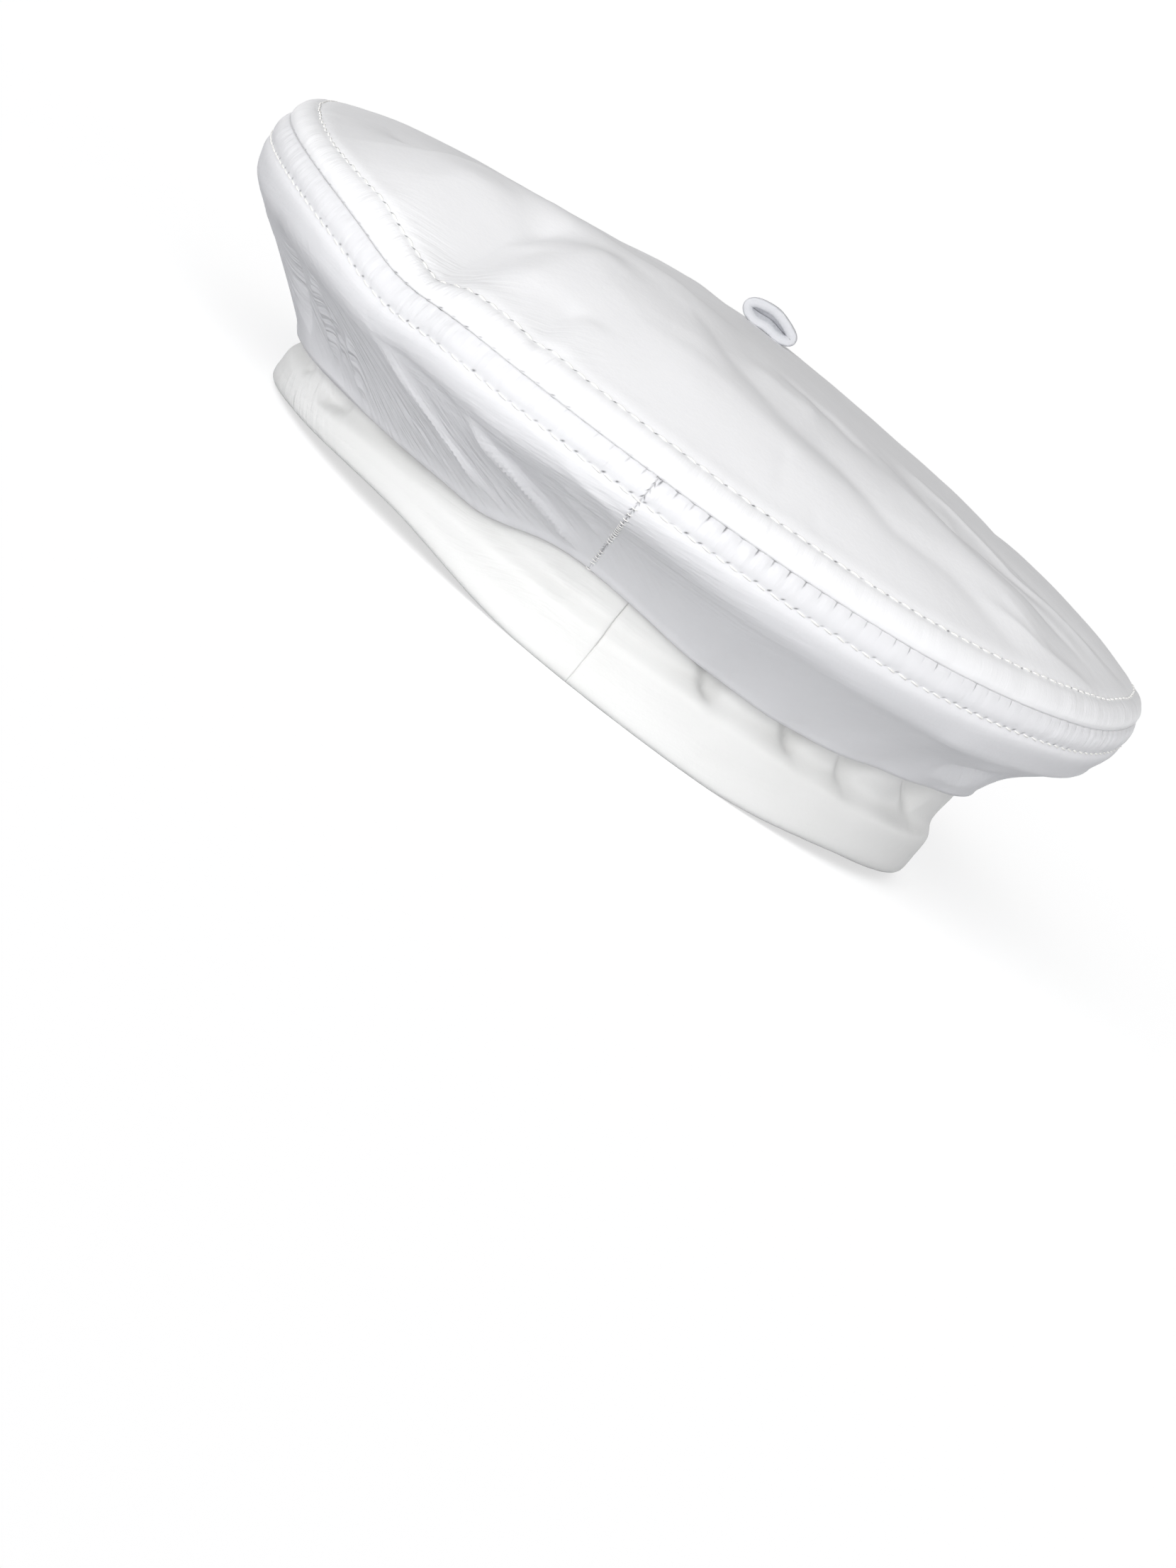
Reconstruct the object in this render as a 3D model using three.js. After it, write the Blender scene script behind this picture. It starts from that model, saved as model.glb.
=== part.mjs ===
// A soft white leather sailor cap: a round crown slumped over a plain turned-up headband,
// with a small leather loop at the middle of the crown.
// Millimetres, +Z up. The hem rests on z = 0, the wearer's face looks along +Y, and both seams
// are at the back, near -Y. The origin is under the middle of the crown, on the hem's plane.
import * as THREE from "three";

// Leather and sewing
const leatherWall = 1.5;
const sewnGap = 0.3; // clear air between two edges that are sewn together
const sideSeamDegrees = -0.4; // where the ends of the side panel meet, from -Y towards +X
const bandSeamDegrees = 6.8; // where the ends of the headband meet

// Crown
const crownRadius = 123; // out to the seam that joins the crown to the side panel
const crownApexHeight = 82; // leather at the middle of the crown, over the hem
const edgeSeamHeight = 58; // height that the crown's edge seam has before it slumps
const edgeRoundPower = 14; // how tightly the crown's edge rolls down

// Side panel
const stitchMargin = 6; // from the edge seam to the row of stitching under it
const bellyOverhang = 0.9; // how far the side swells past the edge seam
const foldHeight = 22; // height, before it slumps, of the soft fold over the headband
const foldHollow = 2.4; // air inside that fold, between its two layers of leather
const tuckRise = 4.5; // from the fold up to where the panel is sewn to the headband

// Headband
const headRadius = 92.3; // inside, a head of 580 mm round
const hemWall = 3; // the folded hem is two layers of leather
const hemHeight = 13;
const hemRound = 0.8;
const bandTopMargin = 1.6; // leather that stands above the line where the side is sewn on
const bandOffsetRight = 7.7; // the crown has slumped back and to the left of the headband
const bandOffsetFront = 4;

// Loop on the crown
const loopLength = 15;
const loopHeight = 6.4;
const loopThickness = 2;
const loopWidth = 6;
const loopOffsetRight = -4.5;
const loopOffsetFront = -3;
const loopTiltDegrees = 5; // its right end sits lower

// How the cap has slumped, going round from the back seam (0 degrees) by way of the right.
// seam: height of the edge seam, of edgeSeamHeight. dome: power of the crown's curve, 1 is a
// cone. edge: share of the crown's fall that is in its rolled edge. fold: height of the fold, of
// foldHeight. reach: width of the fold, of foldHollow. hem: height of the hem's upper edge,
// of hemHeight. swell: the headband's bulge outwards, of hemWall. lift: of hemHeight, the hem
// off the table.
const slump = [
  { at: 0, seam: 0.855, dome: 2.8, edge: 0.08, fold: 1.01, reach: 0.6, hem: 1.03, swell: 0, lift: 0 },
  { at: 30, seam: 0.93, dome: 2.8, edge: 0.1, fold: 0.96, reach: 0.8, hem: 1.18, swell: 0, lift: 0 },
  { at: 60, seam: 1.055, dome: 2.6, edge: 0.24, fold: 1.2, reach: 0.7, hem: 1.2, swell: 0.1, lift: 0.22 },
  { at: 90, seam: 1.165, dome: 2.4, edge: 0.4, fold: 1.3, reach: 0.6, hem: 1.1, swell: 0.3, lift: 0.18 },
  { at: 120, seam: 1.15, dome: 2.25, edge: 0.37, fold: 1.26, reach: 0.9, hem: 1, swell: 0.1, lift: 0 },
  { at: 150, seam: 1.145, dome: 2.2, edge: 0.37, fold: 1.14, reach: 1.3, hem: 1, swell: 0, lift: 0 },
  { at: 180, seam: 1.09, dome: 2, edge: 0.3, fold: 1.12, reach: 1.4, hem: 1, swell: 0, lift: 0 },
  { at: 210, seam: 1.03, dome: 1.65, edge: 0.26, fold: 1.08, reach: 1.4, hem: 1, swell: 0, lift: 0 },
  { at: 240, seam: 0.975, dome: 1.3, edge: 0.24, fold: 0.92, reach: 1.2, hem: 0.9, swell: 0.2, lift: 0 },
  { at: 270, seam: 0.915, dome: 1.35, edge: 0.25, fold: 0.56, reach: 0.8, hem: 0.7, swell: 0.9, lift: 0 },
  { at: 300, seam: 0.87, dome: 1.8, edge: 0.2, fold: 0.61, reach: 0.9, hem: 0.64, swell: 0.3, lift: 0.12 },
  { at: 330, seam: 0.815, dome: 2.6, edge: 0.12, fold: 0.69, reach: 1, hem: 0.93, swell: 0, lift: 0.27 },
];

// Folds of the crown, each a soft ridge or valley from one end to the other. across is +X and
// along is +Y, width is half the fold's width, all as shares of crownRadius. rise is a share of
// leatherWall, minus for a valley.
const crownFolds = [
  { name: "shelf_left", across1: -0.78, along1: -0.42, across2: -0.38, along2: -0.44, width: 0.09, rise: 1.5 },
  { name: "shelf_right", across1: -0.38, along1: -0.46, across2: -0.07, along2: -0.44, width: 0.08, rise: 1.3 },
  { name: "shelf_valley", across1: -0.6, along1: -0.2, across2: -0.12, along2: -0.26, width: 0.12, rise: -1.2 },
  { name: "dent_valley", across1: -0.46, along1: -0.56, across2: -0.53, along2: -0.86, width: 0.07, rise: -2.4 },
  { name: "dent_left_lobe", across1: -0.62, along1: -0.5, across2: -0.66, along2: -0.68, width: 0.11, rise: 1.2 },
  { name: "dent_right_lobe", across1: -0.32, along1: -0.6, across2: -0.38, along2: -0.8, width: 0.08, rise: 1 },
  { name: "left_rim_valley", across1: -0.88, along1: -0.27, across2: -0.62, along2: -0.26, width: 0.07, rise: -1.2 },
  { name: "back_hollow", across1: -0.14, along1: -0.61, across2: 0.07, along2: -0.74, width: 0.08, rise: -1.1 },
  { name: "back_pillow", across1: 0.02, along1: -0.6, across2: 0.12, along2: -0.61, width: 0.08, rise: 0.9 },
  { name: "right_valley", across1: 0.19, along1: -0.66, across2: 0.6, along2: -0.63, width: 0.06, rise: -1.2 },
  { name: "right_ridge", across1: 0.3, along1: -0.56, across2: 0.72, along2: -0.48, width: 0.07, rise: 1 },
  { name: "right_top_valley", across1: 0.31, along1: -0.4, across2: 0.7, along2: -0.33, width: 0.06, rise: -1.2 },
  { name: "right_rim_valley", across1: 0.55, along1: -0.3, across2: 0.92, along2: -0.18, width: 0.05, rise: -1 },
  { name: "front_left_fold", across1: -0.5, along1: 0.68, across2: -0.12, along2: 0.3, width: 0.1, rise: 1.1 },
  { name: "front_right_fold", across1: 0.6, along1: 0.55, across2: 0.2, along2: 0.32, width: 0.1, rise: -1.1 },
];

// Dents in the crown's edge. at is in degrees as in slump, spread is half the dent's width in
// degrees, push is a share of crownRadius and sink of edgeSeamHeight.
const edgeDents = [
  { name: "back_left_dent", at: 325, spread: 7, push: 0.02, sink: 0.035 },
  { name: "front_dent", at: 205, spread: 14, push: 0.008, sink: 0.01 },
];

// Where the side panel's fold sags lower. at and spread as for the dents, sink is a share of
// foldHeight.
const foldSags = [
  { name: "left_of_seam_sag", at: 344, spread: 7, sink: 0.1 },
  { name: "right_of_seam_sag", at: 17, spread: 8, sink: 0.03 },
];

// Long soft folds under the side panel, outwards, as a share of leatherWall.
const sideFolds = [
  { name: "left_crumple", at: 290, spread: 9, rise: 1.3 },
  { name: "left_hollow", at: 307, spread: 8, rise: -1.3 },
  { name: "back_left_billow", at: 335, spread: 12, rise: 1.2 },
  { name: "seam_pull", at: 359, spread: 7, rise: -1.1 },
  { name: "back_right_billow", at: 20, spread: 14, rise: 1 },
  { name: "right_pinch", at: 82, spread: 14, rise: -1.7 },
  { name: "front_right_billow", at: 128, spread: 16, rise: 1 },
  { name: "front_left_hollow", at: 222, spread: 14, rise: -1 },
];

// Gathers where the headband is drawn into the side panel, outwards, as a share of leatherWall.
const bandGathers = [
  { name: "gather_1", at: 22, spread: 4.5, rise: -0.7 },
  { name: "gather_2", at: 36, spread: 4.5, rise: -0.8 },
  { name: "gather_3", at: 50, spread: 4.5, rise: -0.9 },
  { name: "gather_4", at: 64, spread: 5, rise: -0.8 },
  { name: "left_pucker", at: 298, spread: 7, rise: 0.7 },
];

// How finely each piece is faceted
const stepsRound = 80;
const crownRings = 12;
const sidePoints = 10;
const loopSteps = 20;
const loopSectionSteps = 8;

const TURN = 2 * Math.PI;
const radians = THREE.MathUtils.degToRad;

// A column of slump at an angle, as a smooth closed curve that never passes its own rows.
function slumped(column, angle) {
  const spacing = TURN / slump.length;
  const place = THREE.MathUtils.euclideanModulo(angle, TURN) / spacing;
  const row = (k) => slump[THREE.MathUtils.euclideanModulo(k, slump.length)][column];
  const k = Math.floor(place);
  const t = place - k;
  const slope = (i) => {
    const before = row(i) - row(i - 1);
    const after = row(i + 1) - row(i);
    return before * after > 0 ? (2 * before * after) / (before + after) : 0;
  };
  const t2 = t * t;
  const t3 = t2 * t;
  return (
    row(k) * (2 * t3 - 3 * t2 + 1) +
    row(k + 1) * (3 * t2 - 2 * t3) +
    slope(k) * (t3 - 2 * t2 + t) +
    slope(k + 1) * (t3 - t2)
  );
}

// The sum of bumps listed by angle, each one a rounded hill.
function bumps(table, size, angle) {
  return table.reduce((sum, bump) => {
    const turn = radians(bump.at) - angle;
    const away = Math.atan2(Math.sin(turn), Math.cos(turn)) / radians(bump.spread);
    return sum + bump[size] * Math.exp(-away * away);
  }, 0);
}

// The distance from the origin, at an angle, to a circle round the headband's own middle.
function bandReach(angle, radius) {
  const outX = Math.sin(angle);
  const outY = -Math.cos(angle);
  const towards = bandOffsetRight * outX + bandOffsetFront * outY;
  const aside = bandOffsetRight * outY - bandOffsetFront * outX;
  return towards + Math.sqrt(radius * radius - aside * aside);
}

function rimRadius(angle) {
  return crownRadius * (1 - bumps(edgeDents, "push", angle));
}

function seamZ(angle) {
  return edgeSeamHeight * (slumped("seam", angle) - bumps(edgeDents, "sink", angle));
}

function foldZ(angle) {
  return foldHeight * (slumped("fold", angle) - bumps(foldSags, "sink", angle));
}

function hemZ(angle) {
  return hemHeight * slumped("lift", angle);
}

// How far out a face of the headband lies that is this far from the inside.
function bandOut(angle, thickness) {
  return bandReach(angle, headRadius + thickness + hemWall * slumped("swell", angle));
}

// The headband's outside face above its hem.
function bandFace(angle) {
  return bandOut(angle, leatherWall) + leatherWall * bumps(bandGathers, "rise", angle);
}

// How much the folds raise the crown over a point.
function crownFoldRise(x, y) {
  const point = new THREE.Vector2(x, y);
  return crownFolds.reduce((sum, fold) => {
    const start = new THREE.Vector2(fold.across1, fold.along1).multiplyScalar(crownRadius);
    const end = new THREE.Vector2(fold.across2, fold.along2).multiplyScalar(crownRadius);
    const run = end.sub(start);
    const t = THREE.MathUtils.clamp(point.clone().sub(start).dot(run) / run.lengthSq(), 0, 1);
    const away = point.distanceTo(run.multiplyScalar(t).add(start)) / (fold.width * crownRadius);
    return sum + leatherWall * fold.rise * Math.exp(-away * away);
  }, 0);
}

// The height of the crown's top face over a point.
function crownTop(x, y) {
  const angle = Math.atan2(x, -y);
  const share = Math.min(1, Math.hypot(x, y) / rimRadius(angle));
  const fall = crownApexHeight - seamZ(angle) - sewnGap / 2;
  const edge = slumped("edge", angle);
  const rolled = share ** edgeRoundPower;
  const dome = (1 - edge) * share ** slumped("dome", angle) + edge * rolled;
  return crownApexHeight - fall * dome + crownFoldRise(x, y) * (1 - rolled);
}

// Points of a section set back from its outside face by the thickness of the wall.
function insideOf(outside, wall) {
  return outside.map((point, i) => {
    const before = outside[Math.max(0, i - 1)];
    const after = outside[Math.min(outside.length - 1, i + 1)];
    const run = after.clone().sub(before).normalize();
    return new THREE.Vector2(point.x + run.y * wall, point.y - run.x * wall);
  });
}

// A section's point, in the upright plane at an angle, as a point of the cap.
function placed(point, angle) {
  return new THREE.Vector3(point.x * Math.sin(angle), -point.x * Math.cos(angle), point.y);
}

function meshOf(name, positions, faces, look) {
  const geometry = new THREE.BufferGeometry();
  geometry.setAttribute("position", new THREE.Float32BufferAttribute(positions, 3));
  geometry.setIndex(faces);
  geometry.computeVertexNormals();
  const mesh = new THREE.Mesh(geometry, new THREE.MeshStandardMaterial(look));
  mesh.name = name;
  return mesh;
}

// A strip of leather bent round the cap. sectionAt gives the closed outline of its cut at an
// angle, going down the outside and back up the inside, and the ends stop short of each other.
// Between its ends it has its corners on the same angles as every other piece.
function stripAround(name, seamDegrees, sectionAt, gapRadius, look) {
  const halfGap = sewnGap / 2 / gapRadius;
  const start = radians(seamDegrees) + halfGap;
  const end = radians(seamDegrees) + TURN - halfGap;
  const step = TURN / stepsRound;
  const angles = [start];
  for (let i = Math.floor(start / step) + 1; i * step < end; i++) angles.push(i * step);
  angles.push(end);
  const positions = [];
  const faces = [];
  const sections = angles.map((angle) => sectionAt(angle).map((point) => placed(point, angle)));
  const count = sections[0].length;
  sections.flat().forEach((point) => positions.push(point.x, point.y, point.z));
  for (let i = 0; i < angles.length - 1; i++) {
    for (let j = 0; j < count; j++) {
      const next = (j + 1) % count;
      const here = i * count;
      const there = here + count;
      faces.push(here + j, here + next, there + j);
      faces.push(here + next, there + next, there + j);
    }
  }
  const last = (angles.length - 1) * count;
  for (let j = 0; j < count / 2 - 1; j++) {
    const [a, b, c, d] = [j, j + 1, count - 2 - j, count - 1 - j];
    faces.push(a, c, b, a, d, c);
    faces.push(last + a, last + b, last + c, last + a, last + c, last + d);
  }
  return meshOf(name, positions, faces, look);
}

// Crown: one disc of leather, domed, with its edge rolled down to the seam.
function makeCrown(look) {
  const positions = [];
  const faces = [];
  const outsideAt = (angle) =>
    Array.from({ length: crownRings + 1 }, (_, k) => {
      const out = rimRadius(angle) * Math.sin((Math.PI / 2) * (k / crownRings));
      return new THREE.Vector2(out, crownTop(out * Math.sin(angle), -out * Math.cos(angle)));
    });
  const middle = crownTop(0, 0);
  positions.push(0, 0, middle, 0, 0, middle - leatherWall);
  for (let i = 0; i < stepsRound; i++) {
    const angle = (TURN * i) / stepsRound;
    const outside = outsideAt(angle);
    const inside = insideOf(outside, leatherWall);
    const edge = outside[crownRings];
    inside[crownRings] = new THREE.Vector2(edge.x - leatherWall, edge.y);
    const section = [...outside.slice(1), ...inside.slice(1).reverse()];
    section.forEach((point) => positions.push(...placed(point, angle).toArray()));
  }
  const count = 2 * crownRings;
  const index = (i, j) => 2 + (i % stepsRound) * count + j;
  for (let i = 0; i < stepsRound; i++) {
    faces.push(0, index(i, 0), index(i + 1, 0));
    faces.push(1, index(i + 1, count - 1), index(i, count - 1));
    for (let j = 0; j < count - 1; j++) {
      faces.push(index(i, j), index(i, j + 1), index(i + 1, j));
      faces.push(index(i, j + 1), index(i + 1, j + 1), index(i + 1, j));
    }
  }
  return meshOf("crown_top", positions, faces, look);
}

// Side panel: swells under the edge seam, turns in beneath the crown, hangs in a soft fold
// over the headband and is tucked up behind it to its seam.
function makeSidePanel(look) {
  const sectionAt = (angle) => {
    const rim = rimRadius(angle);
    const top = seamZ(angle) - sewnGap / 2;
    const low = foldZ(angle);
    const tuck = bandFace(angle) + sewnGap;
    const foldOut = tuck + 2 * leatherWall + foldHollow * slumped("reach", angle);
    const wave = leatherWall * bumps(sideFolds, "rise", angle);
    const inwards = rim - foldOut;
    const under = top - stitchMargin - low;
    const path = [
      new THREE.Vector2(rim, top),
      new THREE.Vector2(rim + bellyOverhang / 2, top - stitchMargin),
      new THREE.Vector2(rim + bellyOverhang / 3, top - stitchMargin - 0.16 * under),
      new THREE.Vector2(rim - 0.32 * inwards + 0.5 * wave, low + 0.58 * under),
      new THREE.Vector2(foldOut + 0.3 * inwards + wave, low + 0.34 * under),
      new THREE.Vector2(foldOut + 0.5 * wave, low + 0.1 * under),
      new THREE.Vector2((foldOut + tuck) / 2, low),
      new THREE.Vector2(tuck + leatherWall / 4, low + tuckRise / 3),
      new THREE.Vector2(tuck, low + tuckRise),
    ];
    const outside = new THREE.SplineCurve(path).getPoints(sidePoints);
    const inside = insideOf(outside, leatherWall);
    inside[0] = new THREE.Vector2(outside[0].x - leatherWall, outside[0].y);
    const end = outside[sidePoints];
    inside[sidePoints] = new THREE.Vector2(end.x + leatherWall, end.y);
    return [...outside, ...inside.reverse()];
  };
  return stripAround("side_panel", sideSeamDegrees, sectionAt, crownRadius, look);
}

// Headband: one strip, folded double at the hem and single above it.
function makeHeadband(look) {
  const sectionAt = (angle) => {
    const low = hemZ(angle);
    const step = hemHeight * slumped("hem", angle);
    const top = foldZ(angle) + tuckRise + bandTopMargin;
    const inner = bandOut(angle, 0);
    const outer = bandOut(angle, hemWall);
    const face = bandFace(angle);
    return [
      new THREE.Vector2(face, top),
      new THREE.Vector2(face, step + hemRound),
      new THREE.Vector2(outer, step - hemRound),
      new THREE.Vector2(outer, low + hemRound),
      new THREE.Vector2(outer - hemRound, low),
      new THREE.Vector2(inner, low),
      new THREE.Vector2(inner, low + hemRound),
      new THREE.Vector2(inner, step - hemRound),
      new THREE.Vector2(face - leatherWall, step + hemRound),
      new THREE.Vector2(face - leatherWall, top),
    ];
  };
  return stripAround("headband", bandSeamDegrees, sectionAt, headRadius, look);
}

// Loop: a folded strip bent round to a flat ring, standing on the crown with its hole facing back.
function makeLoop(look) {
  const halfLength = (loopLength - loopThickness) / 2;
  const halfHeight = (loopHeight - loopThickness) / 2;
  const corners = [];
  const faces = [];
  for (let i = 0; i < loopSteps; i++) {
    const turn = (TURN * i) / loopSteps;
    const middle = new THREE.Vector2(halfLength * Math.cos(turn), halfHeight * Math.sin(turn));
    const out = new THREE.Vector2(halfHeight * Math.cos(turn), halfLength * Math.sin(turn)).normalize();
    for (let j = 0; j < loopSectionSteps; j++) {
      const round = (TURN * (j + 0.5)) / loopSectionSteps;
      const flat = middle.clone().addScaledVector(out, (Math.cos(round) * loopThickness) / 2);
      flat.rotateAround(new THREE.Vector2(), -radians(loopTiltDegrees));
      const aside = loopOffsetFront + (Math.sin(round) * loopWidth) / 2;
      corners.push(new THREE.Vector3(loopOffsetRight + flat.x, aside, flat.y));
    }
  }
  for (let i = 0; i < loopSteps; i++) {
    for (let j = 0; j < loopSectionSteps; j++) {
      const next = (j + 1) % loopSectionSteps;
      const here = i * loopSectionSteps;
      const there = ((i + 1) % loopSteps) * loopSectionSteps;
      faces.push(here + j, here + next, there + j);
      faces.push(here + next, there + next, there + j);
    }
  }
  const seat = sewnGap + Math.max(...corners.map((point) => crownTop(point.x, point.y) - point.z));
  const positions = corners.flatMap((point) => [point.x, point.y, point.z + seat]);
  return meshOf("top_loop", positions, faces, look);
}

const crownLeather = { color: 0xeeeff2, roughness: 0.42, metalness: 0 };
const bandLeather = { color: 0xf0efec, roughness: 0.48, metalness: 0 };

const cap = new THREE.Group();
cap.add(makeCrown(crownLeather));
cap.add(makeSidePanel(crownLeather));
cap.add(makeHeadband(bandLeather));
cap.add(makeLoop(crownLeather));

export default cap;
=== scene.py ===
# %% [markdown]
# # A soft white leather sailor cap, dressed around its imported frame
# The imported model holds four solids: crown_top, side_panel, headband and top_loop. They have the
# right sizes and the slumped shape, but faceted. Here each one is made again as sewn leather, in
# the same place, and the threads are added.
#
# The cap is the soft, unstructured kind: a round crown that has slumped back over a turned-up
# headband. The frame's axes are kept: +Z up, the hem on z = 0, both seams at the back near -Y.

# %% Load the frame
import math

import bpy
import numpy as np
from mathutils import Matrix, Vector, noise


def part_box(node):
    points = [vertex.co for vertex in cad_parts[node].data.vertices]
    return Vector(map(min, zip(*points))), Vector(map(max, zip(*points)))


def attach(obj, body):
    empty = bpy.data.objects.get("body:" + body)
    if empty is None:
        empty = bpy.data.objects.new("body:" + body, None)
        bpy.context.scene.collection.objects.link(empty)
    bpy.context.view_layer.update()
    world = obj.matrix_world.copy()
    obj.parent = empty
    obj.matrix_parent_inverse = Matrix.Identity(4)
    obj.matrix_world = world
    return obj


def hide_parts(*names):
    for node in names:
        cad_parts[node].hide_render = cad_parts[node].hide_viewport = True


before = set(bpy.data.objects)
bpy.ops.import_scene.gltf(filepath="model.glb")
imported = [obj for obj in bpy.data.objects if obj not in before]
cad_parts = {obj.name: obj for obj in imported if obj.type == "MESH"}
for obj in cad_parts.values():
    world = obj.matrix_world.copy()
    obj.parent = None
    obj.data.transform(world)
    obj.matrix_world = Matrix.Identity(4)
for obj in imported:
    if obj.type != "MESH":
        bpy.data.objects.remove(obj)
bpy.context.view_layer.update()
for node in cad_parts:
    low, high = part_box(node)
    print(node, "is", [round(1000 * (b - a), 1) for a, b in zip(low, high)], "mm")

# %% [markdown]
# ## Sizes
# Leather work is thought of in millimetres, so every size below is in millimetres and a mesh is
# turned to metres only when its vertices are written. The sizes that the frame already has are
# repeated by name: leather walls of 1.5 mm, edges that meet in a seam with 0.3 mm of air.

# %% Sizes in millimetres
MM = 0.001
TURN = 2 * math.pi
LEATHER_WALL = 1.5
SEWN_GAP = 0.3
SEAM_SLIT = 0.06
STRIP_SLIT = 0.01
SIDE_SEAM_DEGREES = -0.4
BAND_SEAM_DEGREES = 6.8
CROWN_RADIUS = 123.0
CROWN_APEX = 82.0
EDGE_SEAM_HEIGHT = 58.0
EDGE_ROUND_POWER = 14
STITCH_MARGIN = 6.0
BELLY_OVERHANG = 0.9
FOLD_HEIGHT = 22.0
FOLD_HOLLOW = 2.4
TUCK_RISE = 4.5
HEAD_RADIUS = 92.3
HEM_WALL = 3.0
HEM_HEIGHT = 13.0
BAND_TOP_MARGIN = 1.6
BAND_OFFSET_RIGHT = 7.7
BAND_OFFSET_FRONT = 4.0
LOOP_LENGTH = 15.0
LOOP_HEIGHT = 6.4
LOOP_THICKNESS = 2.0
LOOP_WIDTH = 6.0
LOOP_OFFSET_RIGHT = -4.5
LOOP_OFFSET_FRONT = -3.0
LOOP_TILT_DEGREES = 1.0

# %% [markdown]
# ## How the cap has slumped
# A soft cap has no straight lines: its edge seam, its folds and its hem rise and fall on the way
# round. One short table says how, every 30 degrees from the back seam by way of the right, as
# shares of the sizes above. A smooth closed curve through the rows gives every angle between.

# %% The slump table
SLUMP_COLUMNS = ("seam", "dome", "edge", "fold", "reach", "hem", "swell", "lift")
SLUMP = np.array([
    (0.855, 2.8, 0.08, 1.01, 0.6, 1.03, 0, 0),
    (0.93, 2.8, 0.1, 0.96, 0.8, 1.18, 0, 0),
    (1.055, 2.6, 0.24, 1.2, 0.7, 1.2, 0.1, 0.22),
    (1.165, 2.4, 0.4, 1.3, 0.6, 1.1, 0.3, 0.18),
    (1.15, 2.25, 0.37, 1.26, 0.9, 1, 0.1, 0),
    (1.145, 2.2, 0.37, 1.14, 1.3, 1, 0, 0),
    (1.09, 2, 0.3, 1.12, 1.4, 1, 0, 0),
    (1.03, 1.65, 0.26, 1.08, 1.4, 1, 0, 0),
    (0.975, 1.3, 0.24, 0.92, 1.2, 0.9, 0.2, 0),
    (0.915, 1.35, 0.25, 0.56, 0.8, 0.7, 0.9, 0),
    (0.87, 1.8, 0.2, 0.61, 0.9, 0.64, 0.3, 0.12),
    (0.815, 2.6, 0.12, 0.69, 1, 0.93, 0, 0.27),
])


def slumped(column, angle):
    """A column of the table at each angle, as a smooth curve that never passes its own rows."""
    rows = SLUMP[:, SLUMP_COLUMNS.index(column)]
    count = len(rows)
    place = np.mod(angle, TURN) / (TURN / count)
    k = np.floor(place).astype(int) % count
    t = place - np.floor(place)
    after = np.roll(rows, -1) - rows
    before = np.roll(after, 1)
    both = before * after
    slope = np.where(both > 0, 2 * both / np.where(both > 0, before + after, 1), 0)
    following = (k + 1) % count
    blend = 3 * t**2 - 2 * t**3
    level = rows[k] * (1 - blend) + rows[following] * blend
    return level + slope[k] * (t**3 - 2 * t**2 + t) + slope[following] * (t**3 - t**2)


def bumps(table, angle):
    """The sum of rounded hills, listed as degrees round, spread in degrees and size."""
    total = np.zeros_like(angle)
    for at, spread, size in table:
        turn = math.radians(at) - angle
        away = np.arctan2(np.sin(turn), np.cos(turn)) / math.radians(spread)
        total += size * np.exp(-(away**2))
    return total


# %% Dents, sags, folds and gathers, each row degrees, spread and size
EDGE_PUSHES = [(325, 7, 0.02), (205, 14, 0.008)]
EDGE_SINKS = [(325, 7, 0.035), (205, 14, 0.01)]
FOLD_SAGS = [(344, 7, 0.1), (17, 8, 0.03)]
SIDE_FOLDS = [
    (290, 9, 1.3), (307, 8, -1.3), (335, 12, 1.2), (359, 7, -1.1),
    (20, 14, 1), (90, 16, -2.3), (128, 16, 1), (222, 14, -1),
]
BAND_GATHERS = [(22, 4.5, -0.7), (36, 4.5, -0.8), (50, 4.5, -0.9), (64, 5, -0.8), (298, 7, 0.7)]


def band_reach(angle, radius):
    """From the origin, at an angle, to a circle round the headband's own middle."""
    out_x = np.sin(angle)
    out_y = -np.cos(angle)
    towards = BAND_OFFSET_RIGHT * out_x + BAND_OFFSET_FRONT * out_y
    aside = BAND_OFFSET_RIGHT * out_y - BAND_OFFSET_FRONT * out_x
    return towards + np.sqrt(radius**2 - aside**2)


def rim_radius(angle):
    return CROWN_RADIUS * (1 - bumps(EDGE_PUSHES, angle))


def seam_z(angle):
    return EDGE_SEAM_HEIGHT * (slumped("seam", angle) - bumps(EDGE_SINKS, angle))


def fold_z(angle):
    return FOLD_HEIGHT * (slumped("fold", angle) - bumps(FOLD_SAGS, angle))


def hem_z(angle):
    return HEM_HEIGHT * slumped("lift", angle)


def band_out(angle, thickness):
    return band_reach(angle, HEAD_RADIUS + thickness + HEM_WALL * slumped("swell", angle))


def band_face(angle):
    return band_out(angle, LEATHER_WALL) + LEATHER_WALL * bumps(BAND_GATHERS, angle)


every_degree = np.radians(np.arange(360.0))
seam_heights = seam_z(every_degree)
print("edge seam from", round(seam_heights.min(), 1), "to", round(seam_heights.max(), 1), "mm")

# %% [markdown]
# ## Helpers for meshes
# Each leather piece starts as a plane grid, as fine as the smallest pucker it has to show. Its
# vertices are then moved by formulas, because the puckers between two rows of stitching repeat
# by the hundred and follow the seams, which neither sculpting by hand nor a cloth run would
# give twice the same. The helpers read and write all vertices at once.

# %% Grid, reading and writing
def add_grid(name, columns, rows):
    """Adds a plane grid from -1 to 1, and gives the object and its vertices' two coordinates."""
    bpy.ops.object.select_all(action="DESELECT")
    bpy.ops.mesh.primitive_grid_add(x_subdivisions=columns, y_subdivisions=rows, size=2)
    piece = bpy.context.active_object
    piece.name = name
    piece.data.name = name
    flat = read(piece, "co") * MM
    return piece, flat[:, 0], flat[:, 1]


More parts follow.
